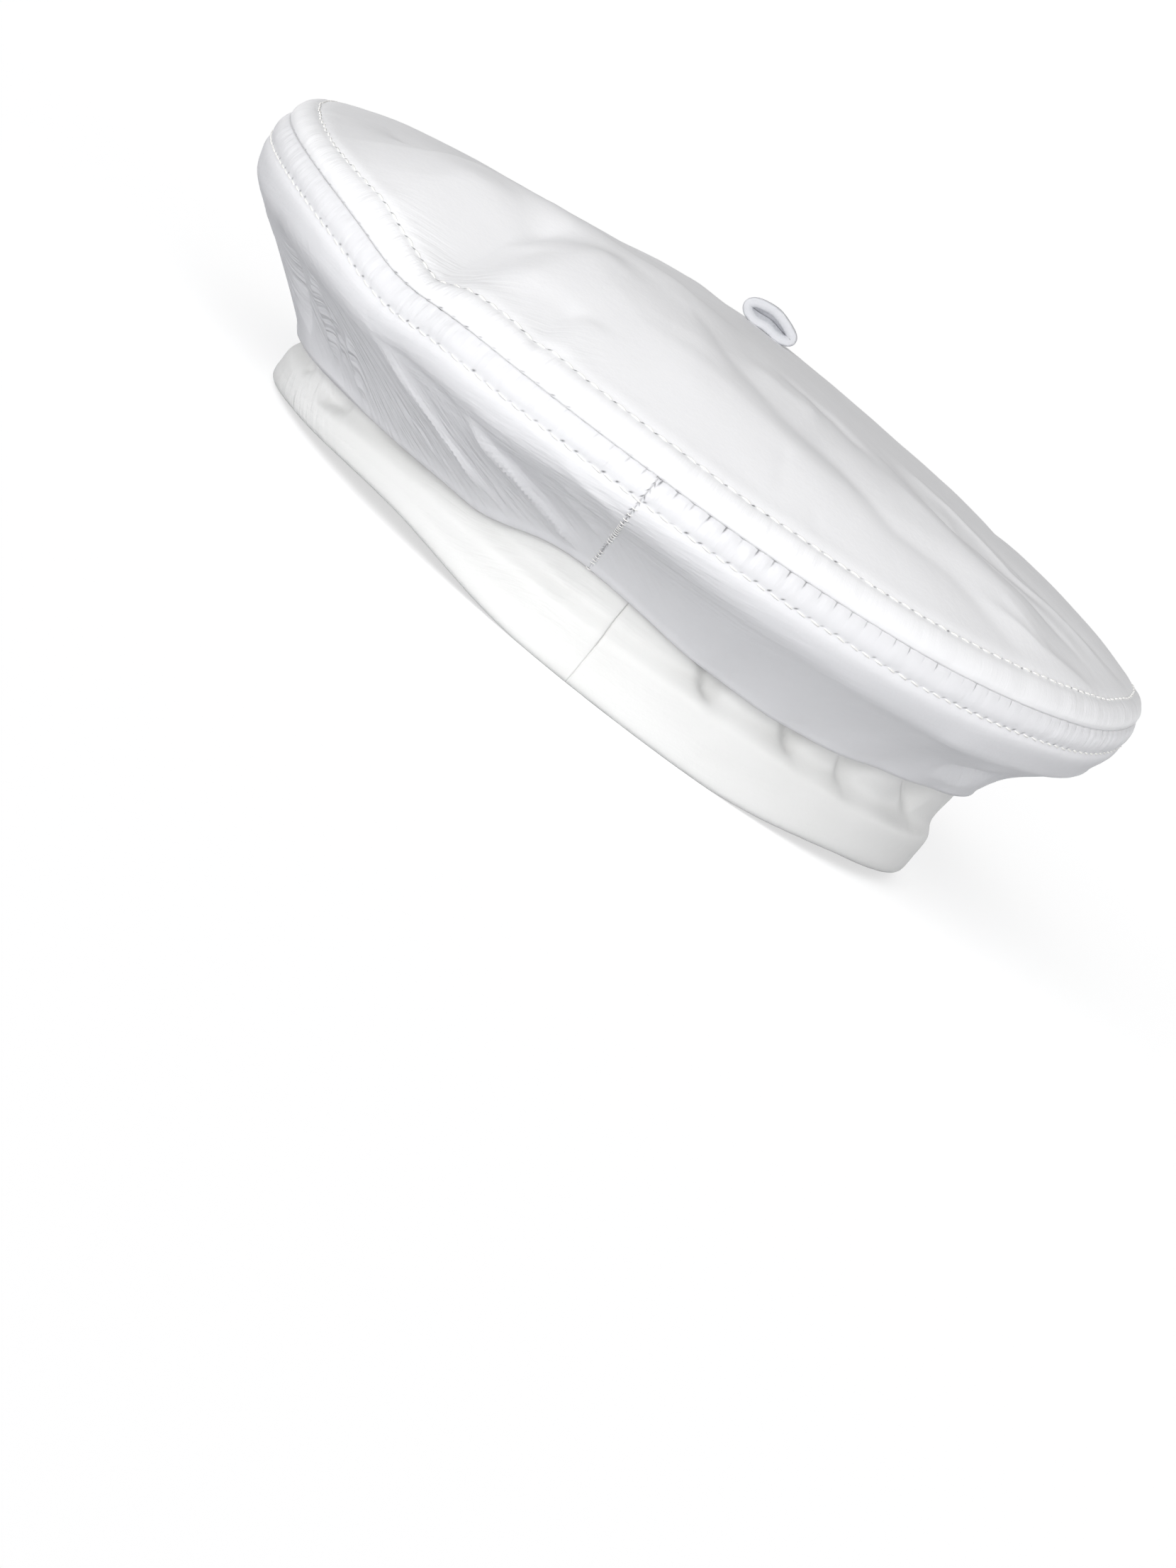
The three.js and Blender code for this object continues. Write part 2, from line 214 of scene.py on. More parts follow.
def read(piece, attribute):
    """Places in millimetres, or normals a thousand long, of all vertices."""
    values = np.empty(3 * len(piece.data.vertices), np.float32)
    piece.data.vertices.foreach_get(attribute, values)
    return values.reshape(-1, 3).astype(float) * (MM if attribute == "normal" else 1) / MM


def write(piece, points):
    """Moves all vertices to these places in millimetres."""
    piece.data.vertices.foreach_set("co", (np.asarray(points) * MM).ravel().astype(np.float32))
    piece.data.update()


def push(piece, distance):
    """Moves each vertex along its normal by a distance in millimetres."""
    write(piece, read(piece, "co") + read(piece, "normal") * distance[:, None])


def placed(out, angle, height):
    """Points in the upright plane at an angle, as points of the cap."""
    return np.stack([out * np.sin(angle), -out * np.cos(angle), height], -1)


def write_uv(piece, around, across, lap):
    """A UV map in metres: around the cap and across the leather. lap is once around."""
    mesh = piece.data
    corner = np.empty(len(mesh.loops), np.int32)
    mesh.loops.foreach_get("vertex_index", corner)
    first = np.empty(len(mesh.polygons), np.int32)
    mesh.polygons.foreach_get("loop_start", first)
    sides = np.empty(len(mesh.polygons), np.int32)
    mesh.polygons.foreach_get("loop_total", sides)
    u = around[corner]
    start = np.repeat(u[first], sides)
    u = u - lap * np.round((u - start) / lap)
    uv = np.stack([u, across[corner]], -1) * MM
    mesh.uv_layers[0].name = "leather"
    mesh.uv_layers[0].data.foreach_set("uv", uv.ravel().astype(np.float32))


def write_strength(piece, name, strength):
    """A number from 0 to 1 for each vertex, which a material reads by name."""
    layer = piece.data.attributes.new(name, "FLOAT", "POINT")
    layer.data.foreach_set("value", np.clip(strength, 0, 1).astype(np.float32))


def thicken(piece, wall):
    """Gives the sheet its wall, on the inside, with the modifier applied."""
    bpy.ops.object.select_all(action="DESELECT")
    piece.select_set(True)
    bpy.context.view_layer.objects.active = piece
    solid = piece.modifiers.new("leather_wall", "SOLIDIFY")
    solid.thickness = wall * MM
    solid.offset = -1
    bpy.ops.object.modifier_apply(modifier=solid.name)
    bpy.ops.object.shade_smooth()
    print(piece.name, "has", sum(len(p.vertices) - 2 for p in piece.data.polygons), "triangles")


def soft_noise(points, size, seed):
    """Smooth noise from -1 to 1 whose lumps are this many millimetres wide."""
    shift = Vector((13.7 * seed, -7.9 * seed, 5.3 * seed))
    return np.array([noise.noise(Vector(p) / size + shift) for p in points])


def bell(distance, width):
    return np.exp(-((distance / width) ** 2))


def crest(distance, width):
    """Like a bell, but with the narrow top that a crease in leather has."""
    return np.exp(-np.abs(distance / width) ** 1.4)


# %% [markdown]
# ## Folds as lines
# A fold in leather is a line that rises or sinks on both sides of a path, often steep on one side
# and soft on the other. A row of a table gives its path, how far it reaches to the left and to
# the right of that path, and its rise. A path is in shares of the crown's radius on the crown.

# %% Height of a fold
def fold_line(across, along, path, left, right, rise):
    """How much one fold lifts the points. It fades in and out over its first and last quarter."""
    points = np.array(path, float)
    lengths = np.hypot(*np.diff(points, axis=0).T)
    nearest = np.full(across.shape, np.inf)
    side = np.ones_like(across)
    place = np.zeros_like(across)
    for k, length in enumerate(lengths):
        run_x, run_y = points[k + 1] - points[k]
        off_x = across - points[k, 0]
        off_y = along - points[k, 1]
        share = np.clip((off_x * run_x + off_y * run_y) / length**2, 0, 1)
        away_x = off_x - share * run_x
        away_y = off_y - share * run_y
        distance = np.hypot(away_x, away_y)
        closer = distance < nearest
        turned = (run_x * away_y - run_y * away_x) / (length * np.maximum(distance, 1e-6))
        side = np.where(closer, turned, side)
        place = np.where(closer, (lengths[:k].sum() + share * length) / lengths.sum(), place)
        nearest = np.minimum(nearest, distance)
    fade = np.clip(np.minimum(place, 1 - place) / 0.25, 0, 1)
    fade = 0.15 + 0.85 * fade**2 * (3 - 2 * fade)
    return rise * fade * crest(nearest, right + (left - right) * (0.5 + 0.5 * side))


def all_folds(across, along, table):
    return sum(fold_line(across, along, *row[1:]) for row in table)


# %% [markdown]
# ## Crown
# The crown is one disc of leather. Its middle lies nearly level, a shelf of creases runs across
# where the leather tips over, and the near slope rolls down to the edge seam with one deep dent.
# The table holds the main folds of the frame's own crown, and after them the finer creases that
# only show up close.

# %% Folds of the crown
CROWN_FOLDS = [
    ("shelf", [
        (-0.8, -0.36), (-0.64, -0.42), (-0.4, -0.43), (-0.28, -0.5), (-0.17, -0.5), (-0.04, -0.42),
    ], 0.07, 0.16, 3.3),
    ("slope_swell", [
        (-0.74, -0.2), (-0.55, -0.5), (-0.2, -0.74), (0.2, -0.76), (0.58, -0.54), (0.78, -0.2),
    ], 0.17, 0.17, 2.3),
    ("shelf_valley", [(-0.7, -0.16), (-0.35, -0.2), (-0.05, -0.25)], 0.12, 0.12, -1.0),
    ("dent_valley", [(-0.4, -0.46), (-0.47, -0.62), (-0.495, -0.78), (-0.53, -0.92)], 0.04, 0.09, -4.4),
    ("dent_left_lobe", [(-0.58, -0.44), (-0.64, -0.58), (-0.66, -0.74)], 0.1, 0.08, 1.6),
    ("dent_right_lobe", [(-0.31, -0.54), (-0.37, -0.7), (-0.4, -0.82)], 0.08, 0.05, 1.6),
    ("dent_second_crease", [(-0.41, -0.62), (-0.455, -0.755), (-0.467, -0.84)], 0.018, 0.03, -0.9),
    ("left_rim_valley", [(-0.92, -0.22), (-0.76, -0.26), (-0.6, -0.26)], 0.07, 0.06, -0.6),
    ("left_rim_streak", [(-0.9, -0.3), (-0.8, -0.21)], 0.03, 0.03, 0.5),
    ("left_slope_streak", [(-0.83, -0.46), (-0.69, -0.44), (-0.58, -0.34)], 0.03, 0.05, 0.7),
    ("back_hollow", [(-0.2, -0.5), (-0.06, -0.62), (0.09, -0.68), (0.3, -0.69)], 0.11, 0.05, -1.1),
    ("back_lobe", [(-0.2, -0.52), (-0.12, -0.62), (-0.1, -0.72)], 0.06, 0.09, 0.6),
    ("back_pillow", [(-0.02, -0.56), (0.07, -0.58), (0.16, -0.56)], 0.08, 0.05, 0.9),
    ("thin_crease", [(0.02, -0.5), (0.1, -0.49), (0.17, -0.493), (0.27, -0.53)], 0.018, 0.025, -0.6),
    ("right_valley", [(0.16, -0.65), (0.28, -0.7), (0.36, -0.71), (0.48, -0.66), (0.7, -0.63)],
     0.065, 0.035, -1.0),
    ("right_ridge", [(0.26, -0.56), (0.5, -0.55), (0.74, -0.48)], 0.06, 0.07, 0.9),
    ("right_top_valley", [(0.26, -0.38), (0.44, -0.46), (0.58, -0.4), (0.72, -0.32)], 0.07, 0.035, -1.1),
    ("right_rim_valley", [(0.5, -0.3), (0.75, -0.25), (0.95, -0.16)], 0.05, 0.028, -0.75),
    ("right_thin_ridge", [(0.3, -0.34), (0.6, -0.36), (0.88, -0.25)], 0.016, 0.02, 0.65),
    ("right_fine_crease", [(0.22, -0.44), (0.5, -0.47), (0.84, -0.36)], 0.014, 0.025, -0.55),
    ("right_slope_streak", [(0.52, -0.64), (0.7, -0.56), (0.86, -0.4)], 0.014, 0.03, 0.7),
    ("right_low_ridge", [(0.55, -0.56), (0.72, -0.54), (0.82, -0.46)], 0.03, 0.03, 0.45),
    ("pinch", [(-0.285, -0.78), (-0.3, -0.87), (-0.295, -0.95)], 0.014, 0.03, -1.3),
    ("pinch_lobe", [(-0.25, -0.8), (-0.26, -0.92)], 0.03, 0.03, 0.9),
    ("crack_left", [(0.125, -0.775), (0.14, -0.83), (0.155, -0.875)], 0.008, 0.008, -0.35),
    ("crack_right", [(0.227, -0.845), (0.25, -0.893)], 0.008, 0.008, -0.3),
    ("shelf_left_back", [(-0.84, -0.22), (-0.66, -0.31), (-0.46, -0.33), (-0.32, -0.38)],
     0.07, 0.06, -1.5),
    ("far_right_dip", [(0.5, 0.34), (0.58, 0.1), (0.66, -0.12)], 0.035, 0.09, -1.3),
    ("front_left_fold", [(-0.5, 0.68), (-0.3, 0.47), (-0.12, 0.3)], 0.12, 0.07, 1.7),
    ("front_right_fold", [(0.6, 0.55), (0.4, 0.42), (0.2, 0.32)], 0.1, 0.06, -1.7),
    ("front_middle_fold", [(0.1, 0.85), (0.02, 0.6), (0.1, 0.42)], 0.06, 0.1, 1.1),
    ("front_left_crease", [(-0.75, 0.3), (-0.5, 0.22), (-0.3, 0.24)], 0.03, 0.06, -0.9),
    ("front_rim_pinch", [(0.36, 0.74), (0.42, 0.88)], 0.02, 0.04, -1.0),
    ("right_rim_pinch", [(0.78, 0.28), (0.93, 0.31)], 0.02, 0.04, -0.9),
]


# %% The crown's surface
def crown_fall(angle):
    return CROWN_APEX - seam_z(angle) - SEAM_SLIT / 2


def crown_dome(angle, out):
    """Height of the smooth dome."""
    share = np.clip(out / rim_radius(angle), 0, 1)
    edge = slumped("edge", angle)
    dome = (1 - edge) * share ** slumped("dome", angle) + edge * share**EDGE_ROUND_POWER
    return CROWN_APEX - crown_fall(angle) * dome


def crown_edge_distance(angle, out):
    """From a point of the crown to its edge seam, measured along the leather."""
    rim = rim_radius(angle)
    edge = slumped("edge", angle)
    power = slumped("dome", angle)
    steps = 12
    total = np.zeros_like(out)
    for k in range(steps):
        share = (out + (rim - out) * (k + 0.5) / steps) / rim
        bend = (1 - edge) * power * share ** (power - 1)
        bend = bend + edge * EDGE_ROUND_POWER * share ** (EDGE_ROUND_POWER - 1)
        total += np.hypot(1, crown_fall(angle) * bend / rim) / steps
    return total * (rim - out)


def crown_out_at(angle, distance):
    """The radius at which the crown is this far from its edge seam."""
    out = rim_radius(angle) - distance
    for _ in range(8):
        out = out + crown_edge_distance(angle, out) - distance
    return out


# %% [markdown]
# ## The full edge
# At its edge the crown doesn't lie over in a gentle curve. The folded seam allowance inside holds
# the first centimetre nearly upright, and the leather turns in only past its stitching. So the
# first few rows of vertices are moved outwards, and the move dies away further in.

# %% How far the edge stands out
CROWN_ROW = 9.0
EDGE_FULLNESS = 2.4
FULLNESS_LIFT = 0.1
FULLNESS_FADE = 16.0


def crown_fullness(distance):
    """How far the crown is moved outwards at a distance from its edge seam."""
    risen = np.sin(math.pi / 2 * np.clip(distance / CROWN_ROW, 0, 1))
    return EDGE_FULLNESS * risen * np.exp(-np.maximum(distance - CROWN_ROW, 0) / FULLNESS_FADE)


# %% [markdown]
# ## The puckered edge
# The crown and the side panel are sewn face to face and turned, so each edge rolls in to the
# seam. A row of stitching on each side then holds the seam allowance down. Between the rows the
# leather is drawn up: it puffs, and it wrinkles across the seam. These values say where the rows
# run and how deep the thread pulls.

# %% Values of the seams
SIDE_ROW = 6.2
ROW_PITCH = 3.45
PUFF_PITCH = 4.05
EDGE_LENGTH = TURN * CROWN_RADIUS
CROWN_ROW_RADIUS = CROWN_RADIUS - 6.5
CROWN_STITCHES = round(TURN * CROWN_ROW_RADIUS / ROW_PITCH)
SIDE_STITCHES = round(EDGE_LENGTH / ROW_PITCH)
EDGE_PUFFS = round(EDGE_LENGTH / PUFF_PITCH)
ROLL_DEPTH = 0.3
ROLL_WIDTH = 0.45
ROW_DEPTH = 0.28
SEAM_ROLL = 0.22
# How strongly the edge puckers on the way round: degrees, spread, strength.
PUCKER_PLACES = [(325, 12, 0.8), (300, 20, 0.35), (2, 16, 0.6), (75, 18, 0.5), (345, 14, 0.4)]
# Where the rows and the notches of the seam show as dark marks: painted shade, with a small dent.
DASH_SHADE_PLACES = [(338, 18, 0.9), (300, 20, 0.4), (200, 40, 0.5)]
NOTCH_SHADE_PLACES = [(8, 14, 1.3), (78, 20, 0.9), (34, 16, 0.6), (140, 40, 0.6), (260, 30, 0.5)]
# Where the crown's row lies nearer to the seam, and where the two edges are pressed shut.
NEAR_ROW_PLACES = [(305, 15, 1.8)]
PRESSED_PLACES = [(337, 22, 0.9), (300, 22, 0.8), (45, 14, 0.6), (200, 40, 0.4)]


def holes(angle, count, sharpness):
    """1 at each needle hole of a row and 0 between them."""
    return (0.5 + 0.5 * np.cos(angle * count)) ** sharpness


def puckered(angle):
    return 0.35 + bumps(PUCKER_PLACES, angle)


def crown_row_at(angle):
    return CROWN_ROW - bumps(NEAR_ROW_PLACES, angle)


def edge_roll(angle, distance, soft_width):
    """Both edges roll in to the seam: a fine line, with a softer round beside it."""
    opened = 1.15 - np.clip(bumps(PRESSED_PLACES, angle), 0, 1)
    return -opened * (ROLL_DEPTH * bell(distance, ROLL_WIDTH) + 0.3 * bell(distance, soft_width))


def crown_edge_relief(angle, distance):
    """The roll, the puff, the sewn groove and the wrinkles near the crown's edge. The distance is
    scaled so that the row is always CROWN_ROW from the seam."""
    roll = edge_roll(angle, distance, 1.8)
    between = np.clip((distance - 0.4) / (CROWN_ROW - 0.6), 0, 1)
    puff = np.sin(math.pi * between) ** 0.7
    lumps = soft_noise(np.stack([angle * 20, distance * 0.05, 0 * angle], -1), 1.0, 1)
    groove = -ROW_DEPTH * bell(distance - CROWN_ROW, 0.9)
    groove = groove * (0.55 + 0.45 * holes(angle, CROWN_STITCHES, 2))
    above = 0.1 * bell(distance - CROWN_ROW - 2.4, 1.8)
    wrinkles = soft_noise(np.stack([angle * 48, distance * 0.12, 0 * angle], -1), 1.0, 2)
    wrinkle_depth = 0.3 * bell(distance - 4.5, 4.2) * puckered(angle)
    return roll + puff * (0.5 + 0.2 * lumps) + groove + above + wrinkles * wrinkle_depth


# %% Make the crown
def make_crown():
    piece, a, b = add_grid("crown", 214, 214)
    ring = np.maximum(np.abs(a), np.abs(b))
    wide = np.abs(a) > np.abs(b)
    turn = np.where(
        wide,
        math.pi / 4 * b / np.where(a == 0, 1, a),
        math.pi / 2 - math.pi / 4 * a / np.where(b == 0, 1, b),
    )
    disc_x = np.where(wide, a, b) * np.cos(turn)
    disc_y = np.where(wide, a, b) * np.sin(turn)
    angle = np.arctan2(disc_x, -disc_y)
    rim_share = 0.3
    inwards = 1 - ring
    out = rim_radius(angle) * (1 - rim_share * inwards - (1 - rim_share) * inwards**2)
    x = out * np.sin(angle)
    y = -out * np.cos(angle)
    distance = crown_edge_distance(angle, out)
    folds = all_folds(x / CROWN_RADIUS, y / CROWN_RADIUS, CROWN_FOLDS)
    calm = 1 - np.clip(out / rim_radius(angle), 0, 1) ** EDGE_ROUND_POWER
    points = np.stack([x, y, crown_dome(angle, out) + folds * calm], -1)
    full = crown_fullness(distance)
    points += placed(full, angle, FULLNESS_LIFT * full)
    write(piece, points)
    distance = distance * CROWN_ROW / crown_row_at(angle)
    relief = crown_edge_relief(angle, distance)
    relief += 0.45 * soft_noise(points, 34, 3) * calm
    relief += 0.16 * soft_noise(points, 11, 4) * calm
    push(piece, relief)
    write_uv(piece, angle * CROWN_RADIUS, distance, EDGE_LENGTH)
    write_strength(piece, "drawn", bell(distance - 4.5, 4.2) * puckered(angle))
    dent_places = 0.35 * bumps([(325, 9, 1), (342, 5, 0.7)], angle)
    write_strength(piece, "creased", dent_places * bell(distance - 13, 6))
    # How strongly the seam's spots show on the crown: painted shade and a small dent.
    write_strength(piece, "notch_dent_and_shade", bumps(DASH_SHADE_PLACES, angle))
    thicken(piece, LEATHER_WALL)
    return piece


crown = make_crown()

# %% [markdown]
# ## Side panel
# The side is a long strip. From the edge seam it swells under its row of stitching, turns in
# beneath the crown, hangs in a soft fold over the headband and is tucked up to its seam there.
# Seen from the back its ends meet in one upright seam, with the leather pulled into long creases
# on the left of it and lying smooth on the right.

# %% Section of the side panel
def spline(points, steps):
    """A smooth curve through control points, with this many steps between two of them."""
    count = points.shape[1]
    curve = []
    for i in range(count - 1):
        p0 = points[:, max(0, i - 1)]
        p1 = points[:, i]
        p2 = points[:, i + 1]
        p3 = points[:, min(count - 1, i + 2)]
        for k in range(steps):
            t = k / steps
            leave = (p2 - p0) / 2
            arrive = (p3 - p1) / 2
            cubic = (2 * p1 - 2 * p2 + leave + arrive) * t**3
            curve.append(cubic + (3 * p2 - 3 * p1 - 2 * leave - arrive) * t**2 + leave * t + p1)
    curve.append(points[:, -1])
    return np.stack(curve, 1)


def side_sections(angle):
    """For each angle, the outside of the side panel from the edge seam down to its tuck."""
    rim = rim_radius(angle)
    top = seam_z(angle) - SEAM_SLIT / 2
    low = fold_z(angle)
    tuck = band_face(angle) + SEWN_GAP
    fold_out = tuck + 2 * LEATHER_WALL + FOLD_HOLLOW * slumped("reach", angle)
    wave = LEATHER_WALL * bumps(SIDE_FOLDS, angle)
    inwards = rim - fold_out
    under = top - STITCH_MARGIN - low
    belly = rim + BELLY_OVERHANG / 2
    path = [
        (rim, top),
        (belly, top - STITCH_MARGIN),
        (belly - 0.4, top - STITCH_MARGIN - 0.12 * under),
        (belly - 1.8, top - STITCH_MARGIN - 0.235 * under),
        (belly - 0.16 * inwards, top - STITCH_MARGIN - 0.325 * under),
        (rim - 0.32 * inwards + 0.5 * wave, low + 0.58 * under),
        (fold_out + 0.3 * inwards + wave, low + 0.34 * under),
        (fold_out + 0.5 * wave, low + 0.1 * under),
        ((fold_out + tuck) / 2, low),
        (tuck + LEATHER_WALL / 4, low + TUCK_RISE / 3),
        (tuck, low + TUCK_RISE),
    ]
    return spline(np.stack([np.stack(point, -1) for point in path], 1), 14)


def along_section(curve, distance):
    """Points of the sections at a distance along each."""
    steps = np.linalg.norm(np.diff(curve, axis=1), axis=2)
    length = np.concatenate([np.zeros((len(curve), 1)), np.cumsum(steps, axis=1)], 1)
    out = np.empty(distance.shape)
    height = np.empty(distance.shape)
    for i in range(len(curve)):
        out[i] = np.interp(distance[i], length[i], curve[i, :, 0])
        height[i] = np.interp(distance[i], length[i], curve[i, :, 1])
    return out, height


# %% [markdown]
# ## A strip bent round
# The side panel and the headband are both strips with a seam at the back, so one helper bends a
# grid to either of them. Its columns are spread evenly round and its rows down the section, and
# each vertex keeps its angle and its distance along the leather, which the creases are given in.

# %% Strips
LEFT_FROM_DEGREES = 260
END_CROWDING = 1.4


def strip_angles(share, seam_degrees, radius):
    """Angles from one end of a strip to the other. The ends nearly touch, as pressed seams do, and
    the columns are crowded there, so that the roll into the seam is narrow."""
    lap = TURN * radius - STRIP_SLIT
    crowding = np.exp(-share * lap / 2) - np.exp(-(1 - share) * lap / 2)
    place = share * lap + END_CROWDING * crowding
    end_to_end = place[-1] - place[0]
    from_end = STRIP_SLIT / 2 + (place - place[0]) * lap / end_to_end
    return math.radians(seam_degrees) + from_end / radius


def strip_grid(name, columns, rows, seam_degrees, radius, sections, crowding):
    """A grid bent to a strip, and each vertex's angle, distance, height and section's length.
    Crowding, from 0 to 1, draws the rows together at the top."""
    piece, a, b = add_grid(name, columns, rows)
    column_share, column = np.unique(np.round((a + 1) / 2, 5), return_inverse=True)
    angles = strip_angles(column_share, seam_degrees, radius)
    curve = sections(angles)
    row_share, row = np.unique(np.round((1 - b) / 2, 5), return_inverse=True)
    length = np.linalg.norm(np.diff(curve, axis=1), axis=2).sum(1)
    share = (1 - crowding) * row_share + crowding * row_share**2
    distances = length[:, None] * share[None, :]
    out, height = along_section(curve, distances)
    angle = angles[column]
    height = height[column, row]
    write(piece, placed(out[column, row], angle, height))
    return piece, angle, distances[column, row], height, length[column]


def from_back(degrees, radius):
    """Millimetres round from the back, less than nothing on the left."""
    return np.radians(np.where(degrees > LEFT_FROM_DEGREES, degrees - 360, degrees)) * radius


def strip_folds(angle, along, radius, table, sign):
    """The folds of a strip, their paths in degrees round and millimetres up (1) or down (-1)."""
    rows = [
        (name, [(from_back(d, radius), sign * m) for d, m in path], left, right, rise)
        for name, path, left, right, rise in table
    ]
    return all_folds(from_back(np.degrees(angle), radius), sign * along, rows)


def seam_roll(angle, seam_degrees, radius, depth):
    """Rolls both ends of a strip in to their seam, the left one standing a little higher."""
    turn = angle - math.radians(seam_degrees)
    away = np.arctan2(np.sin(turn), np.cos(turn)) * radius
    raised = np.where(away < 0, 0.2, 0) * bell(np.abs(away) - 1.4, 1.4)
    return raised - depth * bell(away, 0.3)


# %% Creases of the side panel, paths in degrees round and millimetres down from the edge seam
SIDE_CREASES = [
    ("left_long_crease", [(-49.5, 20), (-51, 33), (-52.8, 49)], 1.0, 2.6, 1.6),
    ("left_second_crease", [(-43, 29), (-43.8, 40), (-43.5, 50)], 0.9, 2.4, 1.2),
    ("left_fine_crease", [(-47.5, 27), (-48, 38), (-50, 48)], 0.8, 1.4, 0.6),
    ("left_dark_fold", [(-57, 16), (-61, 33), (-63, 50)], 4, 3, -1.9),
    ("seam_long_crease", [(-21, 15.5), (-14, 24.5), (-7.5, 35.5), (-0.9, 47)], 1.0, 3.2, 1.8),
    ("seam_upper_groove", [(-16, 18), (-9, 27), (-3, 37)], 2.2, 2.2, -0.4),
    ("seam_lower_crease", [(-34, 14), (-27, 24), (-21.5, 33), (-15, 43)], 1.2, 4.6, 1.3),
    ("seam_third_crease", [(-33, 31), (-28, 38), (-21, 44)], 1.0, 1.8, 0.5),
    ("seam_pull_high", [(-9, 9), (-4, 11), (-0.9, 12)], 0.9, 1.6, 0.5),
    ("seam_pull_middle", [(-8, 15), (-4, 18), (-0.9, 20)], 0.9, 1.8, 0.6),
    ("seam_pull_low", [(-7, 22), (-3.5, 27), (-0.9, 31)], 0.9, 2.0, 0.6),
    ("belly_hollow_left", [(-34, 13), (-24, 16), (-15, 19)], 4, 4, -0.9),
    ("right_knot", [(54, 30), (61, 34), (70, 33)], 4.0, 3.5, -3.2),
    ("right_knot_lip", [(57, 36), (63, 40), (70, 39)], 1.6, 3.0, 0.9),
    ("right_soft_fold", [(40, 14), (52, 20), (60, 27)], 5, 7, 0.7),
    ("front_right_crease", [(118, 16), (126, 28), (130, 40)], 3, 6, 1.2),
    ("front_crease", [(176, 18), (186, 27), (200, 33)], 3, 5, 1.1),
    ("front_left_crease", [(236, 15), (228, 27), (224, 38)], 3, 6, 1.2),
    ("left_end_crease", [(276, 16), (280, 26), (278, 36)], 3, 5, 1.2),
]
SIDE_COLUMNS = 760
SIDE_ROWS = 61
SIDE_CROWDING = 0.5
SIDE_MIDDLE_RADIUS = 112
RUNG_PITCH = 1.7
RUNGS_AROUND = round(EDGE_LENGTH / RUNG_PITCH)
SEAM_AT = math.radians(SIDE_SEAM_DEGREES) * CROWN_RADIUS
# Painted shade in dark spots, with a small dent, under the tiny stitches across the side seam: count,
# millimetres round, length, width, slant.
SEAM_RUNG_SHADES = [
    (RUNGS_AROUND, SEAM_AT + 0.35, 0.5, 0.17, 35),
    (RUNGS_AROUND, SEAM_AT + EDGE_LENGTH - 0.1, 0.4, 0.14, -35),
]
NOTCH_STRENGTHS = [(335, 22, 0.5), (8, 14, 0.6), (80, 16, 0.4), (295, 16, 0.3)]


def side_edge_relief(angle, distance):
    """The roll, the squares of puffed leather, the sewn groove and the wrinkles under it."""
    roll = edge_roll(angle, distance, 1.2)
    between = np.clip((distance - 0.4) / (SIDE_ROW - 0.6), 0, 1)
    puff = np.sin(math.pi * between) ** 0.7
    notch = holes(angle, EDGE_PUFFS, 5) * bell(distance - 0.6, 2.0)
    strength = np.clip(0.25 + bumps(NOTCH_STRENGTHS, angle), 0, 1)
    lumps = soft_noise(np.stack([angle * 26, distance * 0.05, 0 * angle], -1), 1.0, 5)
    groove = -ROW_DEPTH * bell(distance - SIDE_ROW, 0.9)
    groove = groove * (0.55 + 0.45 * holes(angle, SIDE_STITCHES, 2))
    below = 0.2 * bell(distance - SIDE_ROW - 2.4, 1.8)
    wrinkles = soft_noise(np.stack([angle * 60, distance * 0.15, 0 * angle], -1), 1.0, 6)
    wrinkle_depth = 0.25 * bell(distance - 4, 4.5) * puckered(angle)
    return (
        roll + puff * (0.4 + 0.2 * lumps) - 0.7 * notch * strength
        + groove + below + wrinkles * wrinkle_depth
    )


# %% Make the side panel
def make_side_panel():
    piece, angle, distance, _, length = strip_grid(
        "side", SIDE_COLUMNS, SIDE_ROWS, SIDE_SEAM_DEGREES, CROWN_RADIUS, side_sections, SIDE_CROWDING
    )
    relief = strip_folds(angle, distance, SIDE_MIDDLE_RADIUS, SIDE_CREASES, -1)
    away_from_fold = np.clip((length - distance - 7) / 6, 0, 1)
    relief = relief * away_from_fold + side_edge_relief(angle, distance)
    points = read(piece, "co")
    relief += 0.5 * soft_noise(points, 26, 7) * bell(distance - 27, 16)
    relief += 0.12 * soft_noise(points, 8, 8) * bell(distance - 27, 18)
    shown = 0.3 * bell(distance, 2.2) + 0.7 * np.clip((distance - 8) / 3, 0, 1)
    rolled = seam_roll(angle, SIDE_SEAM_DEGREES, CROWN_RADIUS, SEAM_ROLL * shown)
    relief += rolled * away_from_fold
    push(piece, relief)
    write_uv(piece, angle * CROWN_RADIUS, distance, EDGE_LENGTH)
    write_strength(piece, "drawn", bell(distance - 3, 3.6) * puckered(angle))
    crease_places = bumps(
        [(332, 26, 1), (306, 14, 0.8), (68, 8, 0.7), (225, 20, 0.5), (125, 18, 0.5)], angle
    )
    write_strength(piece, "creased", crease_places * bell(distance - 33, 14))
    streak_places = 0.25 + bumps([(353, 10, 0.8), (5, 12, 0.7), (330, 20, 0.3)], angle)
    write_strength(piece, "streaked", streak_places * bell(distance - 16, 9))
    # How strongly the seam's spots show on the side panel: painted shade and a small dent.
    write_strength(piece, "notch_dent_and_shade", bumps(NOTCH_SHADE_PLACES, angle))
    thicken(piece, LEATHER_WALL)
    return piece


side = make_side_panel()

# %% [markdown]
# ## Headband
# The headband is one strip whose lower edge is turned up inside, so the hem is two layers thick
# and the outside steps out softly where the hidden edge lies under it. It is drawn into the side
# panel in small gathers on the right. It is modelled as it is sewn: down the outside, round the
# bottom and up the inside, and the wall is then given to that one strip.

